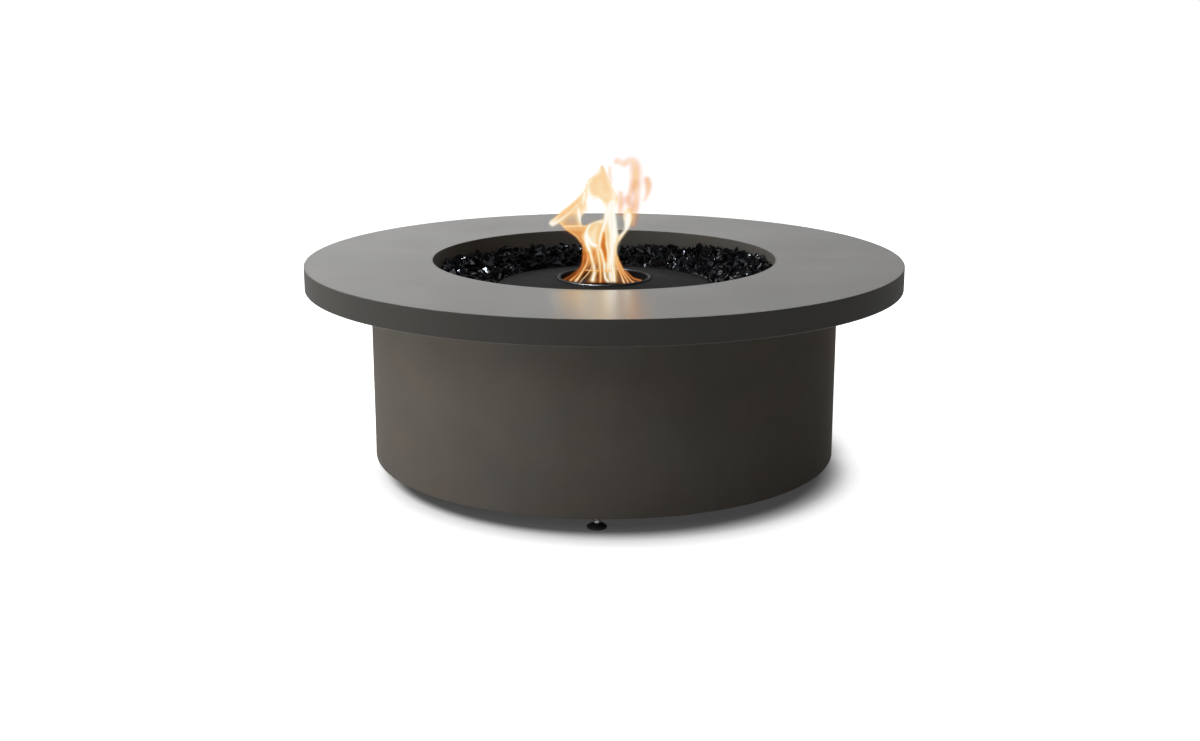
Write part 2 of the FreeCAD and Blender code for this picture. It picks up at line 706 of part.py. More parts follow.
def write(name, made):
    """Writes one node, a solid or a group of separate solids."""
    shape = Part.makeCompound(made) if isinstance(made, list) else made
    for solid in shape.Solids:
        if not solid.isValid() or solid.Volume <= 0:
            raise ValueError(f"{name} has a bad solid")
    shape.exportStep(f"parts/{name}.step")
    box = shape.BoundBox
    print(f"{name}: {len(shape.Solids)} solids, z {box.ZMin:.1f} to {box.ZMax:.1f}")


def main():
    os.makedirs("parts", exist_ok=True)
    makers = [
        table_top, pedestal,
        bracket_angles, bracket_washers, bracket_bolts, bracket_inserts,
        foot_inserts, foot_lock_nuts,
        tray_gasket, fire_tray, burner_well, well_rivets, drain_grommet,
        glass_bed, glass_lumps,
        burner_casing, burner_tank, tank_spacers, burner_plate, burner_neck,
        skirt_rivets, burner_pads, efficiency_ring,
    ]
    for make in makers:
        write(make.__name__, make())
    for side, angle in FOOT_SIDES.items():
        write(f"foot_pad_{side}", turned_to(foot_pad(), angle))
        write(f"foot_stem_{side}", turned_to(foot_stem(), angle))


main()
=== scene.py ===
import math
import random

import bmesh
import bpy
import numpy as np
from mathutils import Matrix, Vector

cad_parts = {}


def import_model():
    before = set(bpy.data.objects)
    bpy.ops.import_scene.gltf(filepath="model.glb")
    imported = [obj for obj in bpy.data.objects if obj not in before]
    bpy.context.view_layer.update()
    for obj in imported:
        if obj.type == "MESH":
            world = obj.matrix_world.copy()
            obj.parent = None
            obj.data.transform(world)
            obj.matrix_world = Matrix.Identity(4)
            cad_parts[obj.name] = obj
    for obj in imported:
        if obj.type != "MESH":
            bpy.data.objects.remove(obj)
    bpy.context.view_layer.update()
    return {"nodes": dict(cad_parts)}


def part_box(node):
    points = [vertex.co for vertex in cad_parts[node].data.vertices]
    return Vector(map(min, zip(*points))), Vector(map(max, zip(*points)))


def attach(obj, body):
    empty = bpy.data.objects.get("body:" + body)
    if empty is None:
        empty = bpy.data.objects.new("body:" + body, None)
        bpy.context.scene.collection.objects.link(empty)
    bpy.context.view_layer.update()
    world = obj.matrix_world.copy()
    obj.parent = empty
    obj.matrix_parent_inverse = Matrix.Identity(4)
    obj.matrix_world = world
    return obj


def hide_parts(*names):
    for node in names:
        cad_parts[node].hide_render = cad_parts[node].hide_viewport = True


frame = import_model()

# The photograph's camera
IMAGE_WIDTH = 1200
FOCAL_PIXELS = 1581.0
SENSOR = 36.0
CAMERA_DISTANCE = 3.3505
CAMERA_HEIGHT = 1.0353
CAMERA_AZIMUTH = math.radians(1.66)
CAMERA_TURN = math.radians(0.152)
CAMERA_DOWN = math.radians(14.11)
CLIP_END = 200

# Sizes read from the model
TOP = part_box("table_top")
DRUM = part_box("pedestal")
TOP_SURFACE = TOP[1].z
TOP_RADIUS = TOP[1].x
DRUM_RADIUS = DRUM[1].x
DRUM_BOTTOM = DRUM[0].z
DRUM_TOP = DRUM[1].z
BED_GAP = 0.0004
PIT_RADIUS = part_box("glass_bed")[1].x + BED_GAP
# The inner radius of the glass bed, which its box doesn't give
GLASS_INNER = 0.2361
SIDES = ("front", "right", "back", "left")


def camera():
    data = bpy.data.cameras.new("photo_camera")
    data.sensor_width = SENSOR
    data.lens = FOCAL_PIXELS / IMAGE_WIDTH * SENSOR
    data.clip_end = CLIP_END
    eye = bpy.data.objects.new("photo_camera", data)
    bpy.context.scene.collection.objects.link(eye)
    eye.location = (
        CAMERA_DISTANCE * math.sin(CAMERA_AZIMUTH),
        -CAMERA_DISTANCE * math.cos(CAMERA_AZIMUTH),
        CAMERA_HEIGHT,
    )
    eye.rotation_euler = (math.pi / 2 - CAMERA_DOWN, 0, CAMERA_AZIMUTH + CAMERA_TURN)
    bpy.context.scene.camera = eye


class Nodes:
    """Short calls for building a node tree."""

    def __init__(self, tree):
        self.tree = tree
        tree.nodes.clear()

    def add(self, kind, inputs=None, **settings):
        made = self.tree.nodes.new(kind)
        for name, value in settings.items():
            setattr(made, name, value)
        for name, value in (inputs or {}).items():
            if isinstance(value, bpy.types.NodeSocket):
                self.tree.links.new(value, made.inputs[name])
            else:
                made.inputs[name].default_value = value
        return made

    def math(self, operation, a, b=0.0, c=0.0):
        made = self.add("ShaderNodeMath", {0: a, 1: b, 2: c}, operation=operation)
        return made.outputs[0]

    def place(self):
        return self.add("ShaderNodeTexCoord").outputs["Object"]

    def stretched(self, vector, scale):
        made = self.add("ShaderNodeMapping", {"Vector": vector, "Scale": scale})
        return made.outputs[0]

    def noise(self, vector, scale, detail=2.0, roughness=0.5, distortion=0.0):
        made = self.add("ShaderNodeTexNoise", {
            "Vector": vector, "Scale": scale, "Detail": detail,
            "Roughness": roughness, "Distortion": distortion,
        })
        return made.outputs[0]

    def cells(self, vector, scale, feature="F1"):
        made = self.add("ShaderNodeTexVoronoi", {"Vector": vector, "Scale": scale}, feature=feature)
        return made.outputs["Distance"]

    def map(self, value, low, high, to_low=0.0, to_high=1.0):
        made = self.add("ShaderNodeMapRange", {
            "Value": value, "From Min": low, "From Max": high,
            "To Min": to_low, "To Max": to_high,
        })
        return made.outputs[0]

    def ease(self, value, low, high):
        made = self.add("ShaderNodeMapRange", {
            "Value": value, "From Min": low, "From Max": high,
        }, interpolation_type="SMOOTHSTEP")
        return made.outputs[0]

    def mix(self, share, a, b, blend="MIX"):
        made = self.add("ShaderNodeMix", data_type="RGBA", blend_type=blend)
        for index, value in ((0, share), (6, a), (7, b)):
            if isinstance(value, bpy.types.NodeSocket):
                self.tree.links.new(value, made.inputs[index])
            elif index == 0:
                made.inputs[index].default_value = value
            else:
                made.inputs[index].default_value = (*value, 1.0)
        return made.outputs[2]

    def bump(self, height, strength, distance, normal=None):
        inputs = {"Height": height, "Strength": strength, "Distance": distance}
        if normal is not None:
            inputs["Normal"] = normal
        return self.add("ShaderNodeBump", inputs).outputs[0]

    def radius_and_height(self, vector):
        parts = self.add("ShaderNodeSeparateXYZ", {0: vector})
        flat = self.add("ShaderNodeCombineXYZ", {0: parts.outputs[0], 1: parts.outputs[1]})
        radius = self.add("ShaderNodeVectorMath", {0: flat.outputs[0]}, operation="LENGTH")
        return radius.outputs["Value"], parts.outputs[2]

    def radius_round(self, vector, middle):
        """Distance from an upright line through a point."""
        aside = self.add("ShaderNodeVectorMath", {0: vector, 1: middle}, operation="SUBTRACT")
        return self.radius_and_height(aside.outputs[0])[0]

    def near_edge(self, vector, edges, reach):
        """1 on circles (radius, height) round the Z axis, fading to 0 at a distance."""
        radius, height = self.radius_and_height(vector)
        nearest = None
        for edge_radius, edge_height in edges:
            across = self.math("SUBTRACT", radius, edge_radius)
            up = self.math("SUBTRACT", height, edge_height)
            pair = self.add("ShaderNodeCombineXYZ", {0: across, 1: up})
            away = self.add("ShaderNodeVectorMath", {0: pair.outputs[0]}, operation="LENGTH")
            far = away.outputs["Value"]
            nearest = far if nearest is None else self.math("MINIMUM", nearest, far)
        return self.map(nearest, 0.0, reach, 1.0, 0.0)


def material(name):
    made = bpy.data.materials.new(name)
    made.use_nodes = True
    return made, Nodes(made.node_tree)


def finish_surface(made, nodes, inputs, constants):
    surface = nodes.add("ShaderNodeBsdfPrincipled", {**inputs, **constants})
    nodes.add("ShaderNodeOutputMaterial", {0: surface.outputs[0]})
    return made


def times(tone, factor):
    """A colour times one number, or times one number for each of its parts."""
    return np.multiply(tone, factor).tolist()


# Concrete. Scales are in features a metre, and depths and reaches in metres.
CLOUD_SCALE = 5.5
MOTTLE_SCALE = 15
TINT_SCALE = 7.3
GRAIN_SCALE = 1100
PINHOLE_SCALE = 420
PINHOLE_PATCHES = 40
# Edge wear, which also paints a highlight along the edges
CHIP_AND_HIGHLIGHT_SCALE = 90
CHIP_AND_HIGHLIGHT_REACH = 0.0045
SHEEN_SCALE = 5
SHEEN_CHANGE = 0.022
SWELL_SCALE = 9
SWELL_DEPTH = 0.0020
GRAIN_DEPTH = 0.00010
PINHOLE_DEPTH = 0.0003
SIDE_FROM = PIT_RADIUS + 0.02
WARM = (1.05, 0.99, 0.93)
COOL = (0.96, 1.0, 1.05)


def cement_colour(n, place, tone, cloud_size):
    """Light and dark clouds, warm and cool patches and a fine mottle."""
    clouds = n.noise(place, CLOUD_SCALE / cloud_size, detail=4, roughness=0.55, distortion=0.35)
    shade = n.mix(n.map(clouds, 0.32, 0.68), times(tone, 0.86), times(tone, 1.15))
    warmth = n.noise(n.stretched(place, (1, 1, 1.6)), TINT_SCALE, detail=3)
    tint = n.mix(n.map(warmth, 0.35, 0.65), times(tone, COOL), times(tone, WARM))
    mottle = n.noise(place, MOTTLE_SCALE, detail=3, distortion=0.2)
    return n.mix(n.map(mottle, 0.25, 0.75, 0.0, 0.16), n.mix(0.55, shade, tint), times(tone, 0.80))


def concrete(name, tone, edges, rough, side_rough, specular, painted_side_shade=1.0, cloud_size=1.0):
    """Cast and sealed concrete: cement clouds, fine grain, pinholes, worn edges with a painted highlight,
    and painted shade on the outer sides where asked.
    """
    made, n = material(name)
    place = n.place()
    normal = n.add("ShaderNodeNewGeometry").outputs["Normal"]
    upright = n.add("ShaderNodeSeparateXYZ", {0: normal}).outputs[2]
    flat = n.map(n.math("ABSOLUTE", upright), 0.2, 0.9)
    outside = n.map(n.radius_and_height(place)[0], PIT_RADIUS, SIDE_FROM)
    outer_side = n.map(n.math("SUBTRACT", outside, flat), 0.0, 1.0)
    grain = n.noise(place, GRAIN_SCALE, detail=3, roughness=0.6)
    hole = n.map(n.cells(place, PINHOLE_SCALE), 0.05, 0.17, 1.0, 0.0)
    pinholes = n.math("MULTIPLY", hole, n.map(n.noise(place, PINHOLE_PATCHES, detail=2), 0.60, 0.68))
    edge = n.near_edge(place, edges, CHIP_AND_HIGHLIGHT_REACH)
    wear = n.map(n.noise(place, CHIP_AND_HIGHLIGHT_SCALE, detail=4, roughness=0.7), 0.42, 0.62)
    chipped_and_highlit = n.math("MULTIPLY", edge, wear)
    base = cement_colour(n, place, tone, cloud_size)
    base = n.mix(n.map(grain, 0.3, 0.7, 0.0, 0.10), base, times(tone, 1.35))
    base = n.mix(n.math("MULTIPLY", pinholes, 0.16), base, times(tone, 0.45))
    # Edges are lighter: partly wear and chips, partly a painted highlight where they catch the light
    base = n.mix(n.math("MULTIPLY", chipped_and_highlit, 0.45), base, times(tone, 1.7))
    # Painted shade: the outer upright sides are made darker than the top, as if less lit
    base = n.mix(outer_side, base, n.mix(1.0, base, [painted_side_shade] * 3, "MULTIPLY"))
    sheen = n.map(n.noise(place, SHEEN_SCALE, detail=2), 0.25, 0.75, -SHEEN_CHANGE, SHEEN_CHANGE)
    roughness = n.math("ADD", n.map(flat, 0.0, 1.0, side_rough, rough), sheen)
    roughness = n.math("ADD", roughness, n.math("MULTIPLY", pinholes, 0.1))
    roughness = n.math("ADD", roughness, n.math("MULTIPLY", edge, 0.08))
    relief = n.bump(n.noise(place, SWELL_SCALE, detail=2), strength=0.03, distance=SWELL_DEPTH)
    relief = n.bump(grain, strength=0.03, distance=GRAIN_DEPTH, normal=relief)
    relief = n.bump(pinholes, strength=-0.10, distance=PINHOLE_DEPTH, normal=relief)
    return finish_surface(
        made, n, {"Base Color": base, "Roughness": roughness, "Normal": relief},
        {"Specular IOR Level": specular})


def black_glass(name):
    """Tumbled black glass: smooth faces, a few dull ones, faint ripples."""
    made, n = material(name)
    place = n.place()
    smoky = n.noise(place, scale=45, detail=2)
    base = n.mix(n.map(smoky, 0.4, 0.7), (0.0025, 0.0025, 0.003), (0.010, 0.010, 0.012))
    frost = n.map(n.noise(place, scale=75, detail=3, roughness=0.6), 0.56, 0.66)
    roughness = n.math("ADD", 0.03, n.math("MULTIPLY", frost, 0.28))
    ripples = n.noise(place, scale=110, detail=2, distortion=0.6)
    relief = n.bump(ripples, strength=0.30, distance=0.0016)
    return finish_surface(
        made, n, {"Base Color": base, "Roughness": roughness, "Normal": relief},
        {"Specular IOR Level": 0.5, "Specular Tint": (0.84, 0.90, 1.0, 1.0)})


def coated_steel(name, tone, rough, brushed, specular):
    """Dark heat-proof coating over steel: faint brushing and dust."""
    made, n = material(name)
    place = n.place()
    radius, height = n.radius_and_height(place)
    rings = n.add("ShaderNodeCombineXYZ", {0: radius, 1: height}).outputs[0]
    brush = n.noise(n.stretched(rings, (1400, 300, 1)), scale=1.0, detail=3, roughness=0.7)
    blot = n.noise(place, scale=16, detail=4, roughness=0.6)
    dust = n.map(n.noise(place, scale=900, detail=2, roughness=0.8), 0.62, 0.80)
    base = n.mix(n.map(blot, 0.3, 0.7), times(tone, 0.78), times(tone, 1.25))
    base = n.mix(n.math("MULTIPLY", dust, 0.35), base, times(tone, 3.5))
    roughness = n.map(blot, 0.3, 0.7, rough - 0.05, rough + 0.06)
    roughness = n.math("ADD", roughness, n.map(brush, 0.3, 0.7, -0.04, 0.04))
    relief = n.bump(brush, strength=brushed, distance=0.00012)
    grain = n.noise(place, scale=500, detail=2)
    relief = n.bump(grain, strength=brushed / 5, distance=0.0002, normal=relief)
    return finish_surface(
        made, n, {"Base Color": base, "Roughness": roughness, "Normal": relief},
        {"Specular IOR Level": specular})


# Colours that steel takes when it is heated
STRAW = (0.46, 0.30, 0.15)
BLUED = (0.14, 0.13, 0.20)


def steel(name, tone, rough, stretch, stained=0.0):
    """Bare or plated steel with fine brushing, and heat stains where asked."""
    made, n = material(name)
    place = n.place()
    brush = n.noise(n.stretched(place, stretch), scale=1.0, detail=3, roughness=0.7)
    blot = n.noise(place, scale=24, detail=4, roughness=0.6)
    base = n.mix(n.map(blot, 0.3, 0.7), times(tone, 0.82), times(tone, 1.1))
    heat = n.noise(place, scale=30, detail=3)
    stain = n.mix(n.map(heat, 0.4, 0.6), STRAW, BLUED)
    base = n.mix(n.math("MULTIPLY", n.map(heat, 0.35, 0.7), stained), base, stain)
    wear = n.noise(place, scale=55, detail=4, roughness=0.65)
    roughness = n.map(wear, 0.25, 0.75, rough - 0.08, rough + 0.1)
    relief = n.bump(brush, strength=0.16, distance=0.00008)
    return finish_surface(
        made, n, {"Base Color": base, "Roughness": roughness, "Normal": relief},
        {"Metallic": 1.0})


SCUFF_GREY = 0.03


def moulded(name, tone, rough, grain_scale):
    """Plastic or rubber with a fine moulded grain and grey scuffs."""
    made, n = material(name)
    place = n.place()
    scuff = n.map(n.noise(place, scale=120, detail=5, roughness=0.7), 0.56, 0.72)
    blot = n.noise(place, scale=50, detail=3, roughness=0.6)
    base = n.mix(n.map(blot, 0.3, 0.7), times(tone, 0.8), times(tone, 1.3))
    base = n.mix(n.math("MULTIPLY", scuff, 0.4), base, [c + SCUFF_GREY for c in tone])
    roughness = n.map(scuff, 0.0, 1.0, rough, rough + 0.2)
    grain = n.noise(place, grain_scale, detail=2, roughness=0.6)
    relief = n.bump(grain, strength=0.2, distance=0.00015)
    return finish_surface(
        made, n, {"Base Color": base, "Roughness": roughness, "Normal": relief}, {})


def ceramic(name):
    """Pressed ceramic fibre board."""
    made, n = material(name)
    place = n.place()
    fibre = n.noise(n.stretched(place, (1, 1, 3)), scale=420, detail=4, roughness=0.7)
    base = n.mix(n.map(fibre, 0.3, 0.7), (0.60, 0.57, 0.50), (0.80, 0.78, 0.72))
    relief = n.bump(fibre, strength=0.4, distance=0.0004)
    return finish_surface(
        made, n, {"Base Color": base, "Normal": relief}, {"Roughness": 0.92})


def table_looks():
    """The look of each node that has one of its own."""
    slab_tone = (0.106, 0.101, 0.090)
    drum_tone = (0.108, 0.0975, 0.084)
    slab_edges = [(TOP_RADIUS, TOP_SURFACE), (TOP_RADIUS, DRUM_TOP), (PIT_RADIUS, TOP_SURFACE)]
    drum_edges = [(DRUM_RADIUS, DRUM_BOTTOM), (DRUM_RADIUS, DRUM_TOP)]
    return {
        # The slab's outer sides get painted shade
        "table_top": concrete(
            "top_concrete", slab_tone, slab_edges, rough=0.25, side_rough=0.86, specular=0.40,
            painted_side_shade=0.405, cloud_size=2.2),
        "pedestal": concrete(
            "drum_concrete", drum_tone, drum_edges, rough=0.8, side_rough=0.88, specular=0.06),
        "glass_bed": black_glass("packed_glass"),
        "burner_plate": coated_steel(
            "plate_coating", (0.009, 0.009, 0.0086), rough=0.60, brushed=0.25, specular=0.15),
        "burner_neck": coated_steel(
            "neck_coating", (0.006, 0.006, 0.006), rough=0.34, brushed=0.04, specular=0.09),
        "efficiency_ring": steel(
            "ring_heated", (0.060, 0.038, 0.026), rough=0.5, stretch=(300, 300, 40), stained=0.3),
        "burner_tank": steel(
            "stainless_heated", (0.34, 0.27, 0.21), rough=0.36, stretch=(300, 300, 40), stained=0.75),
        "tank_spacers": ceramic("ceramic_board"),
    }


def dress_cad():
    """Gives each listed CAD node its material, and returns the looks that the shown pieces share."""
    zinc = steel("zinc_plate", (0.55, 0.55, 0.56), rough=0.38, stretch=(350, 350, 90))
    sheet = steel("stainless_sheet", (0.56, 0.54, 0.51), rough=0.34, stretch=(90, 90, 700))
    rubber = moulded("black_rubber", (0.018, 0.018, 0.018), rough=0.75, grain_scale=900)
    plastic = moulded("black_plastic", (0.010, 0.010, 0.011), rough=0.42, grain_scale=1500)
    looks = table_looks()
    shared = (
        (zinc, ("bracket_angles", "bracket_washers", "bracket_bolts", "bracket_inserts",
                "foot_inserts", "foot_lock_nuts")),
        (sheet, ("fire_tray", "burner_well", "well_rivets", "burner_casing", "skirt_rivets")),
        (rubber, ("tray_gasket", "drain_grommet", "burner_pads")),
        (zinc, [f"foot_stem_{side}" for side in SIDES]),
        (plastic, [f"foot_pad_{side}" for side in SIDES]),
    )
    for look, names in shared:
        looks.update(dict.fromkeys(names, look))
    for name, node in frame["nodes"].items():
        if name in looks:
            node.data.materials.clear()
            node.data.materials.append(looks[name])
    return {"zinc": zinc, "glass": looks["glass_bed"]}


def mesh_object(name, vertices, faces, look, smooth=False):
    mesh = bpy.data.meshes.new(name)
    mesh.from_pydata([tuple(v) for v in vertices], [], faces)
    mesh.polygons.foreach_set("use_smooth", [smooth] * len(mesh.polygons))
    mesh.materials.append(look)
    mesh.update()
    made = bpy.data.objects.new(name, mesh)
    bpy.context.scene.collection.objects.link(made)
    return made


# Crushed glass
SHARD_SEED = 11
SHARD_KINDS = 40
SHARD_ROOM = 0.0016
SHARD_MARGIN = 0.004
SHARD_SLACK = 0.0005
BED_INNER_TOP = 0.384
BED_OUTER_TOP = 0.403
BED_LEAN = 0.009
HEAP_HEIGHT = 0.0155
WALL_HEAP_LEFT = 0.018
WALL_HEAP_RIGHT = 0.015
SHARD_LAYERS = [
    # (how many, size from, size to, height over the bed from, to, most tilt in degrees)
    (1300, 0.020, 0.031, -0.006, 0.000, 60),
    (560, 0.024, 0.039, -0.003, 0.004, 90),
    (210, 0.020, 0.038, 0.002, 0.008, 90),
]


def shard_shape(chance):
    """One angular chip: the hull of a few points scattered over a flattened ball."""
    flat = chance.uniform(0.45, 0.85)
    narrow = chance.uniform(0.62, 1.0)
    shape = bmesh.new()
    for _ in range(chance.randint(7, 11)):
        height = chance.uniform(-1, 1)
        turn = chance.uniform(0, 2 * math.pi)
        reach = math.sqrt(1 - height * height)
        shape.verts.new((
            0.5 * reach * math.cos(turn), 0.5 * narrow * reach * math.sin(turn), 0.5 * flat * height))
    bmesh.ops.convex_hull(shape, input=shape.verts)
    bmesh.ops.recalc_face_normals(shape, faces=shape.faces)
    shape.verts.index_update()
    points = np.array([vertex.co for vertex in shape.verts])
    faces = [tuple(vertex.index for vertex in face.verts) for face in shape.faces]
    shape.free()
    return points, faces


def heap_height(x, y):
    """Middle height of the loose glass, which leans up the wall at both sides."""
    radius = math.hypot(x, y)
    share = (radius - GLASS_INNER) / (PIT_RADIUS - GLASS_INNER)
    heap = WALL_HEAP_RIGHT if x > 0 else WALL_HEAP_LEFT
    rise = BED_OUTER_TOP - BED_INNER_TOP + BED_LEAN * x / radius + heap * abs(x) / PIT_RADIUS
    return BED_INNER_TOP + share * rise


def tumbled(points, size, tilt, chance):
    """A chip at its size, tipped by up to a tilt in degrees and spun."""
    tip = Matrix.Rotation(math.radians(chance.uniform(-tilt, tilt)), 3, "X")
    roll = Matrix.Rotation(math.radians(chance.uniform(-tilt, tilt)), 3, "Y")
    spin = Matrix.Rotation(chance.uniform(0, 2 * math.pi), 3, "Z")
    return size * points @ np.array(spin @ roll @ tip).T


def keep_between(points, outwards, inner, outer):
    """Shifts a chip in or out to lie between two radii, and says whether it fits there."""
    reach = np.hypot(points[:, 0], points[:, 1])
    points[:, :2] += outwards * (max(0.0, inner - reach.min()) - max(0.0, reach.max() - outer))
    reach = np.hypot(points[:, 0], points[:, 1])
    return reach.min() >= inner - SHARD_SLACK and reach.max() <= outer + SHARD_SLACK


def crushed_glass(look):
    """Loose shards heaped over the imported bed, between the burner and the pit's wall."""
    chance = random.Random(SHARD_SEED)
    kinds = [shard_shape(chance) for _ in range(SHARD_KINDS)]
    inner, outer = GLASS_INNER + SHARD_ROOM, PIT_RADIUS - SHARD_ROOM
    nearest, furthest = inner + SHARD_MARGIN, outer - SHARD_MARGIN
    vertices, faces = [], []
    for count, small, large, low, high, tilt in SHARD_LAYERS:
        for _ in range(count):
            radius = math.sqrt(chance.uniform(nearest ** 2, furthest ** 2))
            angle = chance.uniform(0, 2 * math.pi)
            size = chance.uniform(small, large)
            points, sides = kinds[chance.randrange(SHARD_KINDS)]
            shard = tumbled(points, size, tilt, chance)
            outwards = np.array((math.cos(angle), math.sin(angle)))
            shard[:, :2] += radius * outwards
            if not keep_between(shard, outwards, inner, outer):
                continue
            seat = heap_height(*shard[:, :2].mean(0))
            shard[:, 2] += seat + chance.uniform(low, high)
            shard[:, 2] -= max(0.0, shard[:, 2].max() - seat - HEAP_HEIGHT)
            start = len(vertices)
            vertices.extend(shard)
            faces.extend(tuple(start + i for i in side) for side in sides)
    made = mesh_object("crushed_glass", vertices, faces, look)
    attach(made, "table")
    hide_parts("glass_lumps")


# Threaded stems of the feet. Heights of the hexagon are from the stem's lower end.
THREAD_PITCH = 0.0015
THREAD_DEPTH = 0.0008
THREAD_CREST = 0.8
THREAD_RUNOUT = 0.0008
RINGS_A_TURN = 8
STEM_STEPS = 36
STEM_RADIUS = 0.005
STEM_END_RADIUS = STEM_RADIUS * 0.84
END_CHAMFER = 0.0006
HEX_FLATS = 0.014
HEX_FROM = 0.006
HEX_TO = 0.010
HEX_CHAMFER = 0.0004
HEX_CHAMFER_RADIUS = 0.0074
SHOULDER = 0.0001


def stem_rings(bottom, top):
    """(height, kind) of each ring of a stem from its socket end to its tip."""
    hex_low, hex_high = bottom + HEX_FROM, bottom + HEX_TO
    rings = [(bottom, "end"), (bottom + END_CHAMFER, "plain"), (hex_low - SHOULDER, "plain")]
    rings += [(hex_low, "chamfer"), (hex_low + HEX_CHAMFER, "hex")]
    rings += [(hex_high - HEX_CHAMFER, "hex"), (hex_high, "chamfer"), (hex_high + SHOULDER, "neck")]
    height = hex_high + THREAD_RUNOUT
    while height < top - END_CHAMFER:
        rings.append((height, "thread"))
        height += THREAD_PITCH / RINGS_A_TURN
    rings.append((top, "end"))
    return rings


def stem_radius(kind, height, angle):
    if kind == "plain":
        return STEM_RADIUS
    if kind == "neck":
        return STEM_RADIUS - THREAD_DEPTH
    if kind == "end":
        return STEM_END_RADIUS
    if kind == "thread":
        turns = (height / THREAD_PITCH - angle / (2 * math.pi)) % 1.0
        return STEM_RADIUS - THREAD_DEPTH * abs(2 * turns - 1) ** THREAD_CREST
    flat = HEX_FLATS / 2 / math.cos((angle % (math.pi / 3)) - math.pi / 6)
    return min(flat, HEX_CHAMFER_RADIUS) if kind == "chamfer" else flat


def threaded_stem(side, look):
    """A foot's stem with its hexagon and a real thread."""
    low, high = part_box(f"foot_stem_{side}")
    centre = (low + high) / 2
    vertices, faces = [], []
    rings = stem_rings(low.z, high.z)
    for height, kind in rings:
        for n in range(STEM_STEPS):
            angle = 2 * math.pi * n / STEM_STEPS
            reach = stem_radius(kind, height, angle)
            vertices.append((
                centre.x + reach * math.cos(angle), centre.y + reach * math.sin(angle), height))
    for level in range(len(rings) - 1):
        for n in range(STEM_STEPS):
            after = (n + 1) % STEM_STEPS
            below, above = level * STEM_STEPS, (level + 1) * STEM_STEPS
            faces.append((below + n, below + after, above + after, above + n))
    faces.append(tuple(range(STEM_STEPS))[::-1])
    last = (len(rings) - 1) * STEM_STEPS
    faces.append(tuple(range(last, last + STEM_STEPS)))
    made = mesh_object(f"threaded_stem_{side}", vertices, faces, look)
    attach(made, f"stem_{side}")
    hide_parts(f"foot_stem_{side}")


# Flame. The lengths in its lists are in millimetres. An outline has (x, height) points, and each
# bright line is a run of (x, height, half width, cover, heat).
MM = 0.001
FLAME_STEP = 0.0011
MOUTH_INSIDE = 0.392

FRONT_OUTLINE = [
    (-92, 393), (-74, 402), (-56, 416), (-48, 431), (-47, 449), (-48, 470), (-55, 484), (-74, 498),
    (-87, 510), (-96, 517), (-109, 512), (-117, 518), (-111, 527), (-93, 541), (-71, 556), (-55, 572),
    (-42, 588), (-38, 601), (-33, 613), (-22, 621), (-13, 632), (-4, 643), (3, 631), (8, 616), (16, 598),
    (23, 583), (29, 572), (27, 558), (22, 547), (24, 533), (26, 518), (28, 501), (32, 491), (44, 501),
    (43, 516), (40, 531), (43, 543), (54, 550), (60, 545), (61, 530), (56, 512), (44, 493), (33, 478),
    (27, 466), (27, 453), (33, 435), (45, 416), (63, 403), (82, 396), (65, 386), (0, 380), (-65, 386),
]
FRONT_HOLE = [
    (-33, 574), (-23, 567), (-13, 570), (-4, 564), (1, 550), (0, 537), (-3, 525), (-15, 521), (-30, 516),
    (-46, 513), (-50, 526), (-42, 537), (-34, 545), (-36, 558), (-38, 566),
]
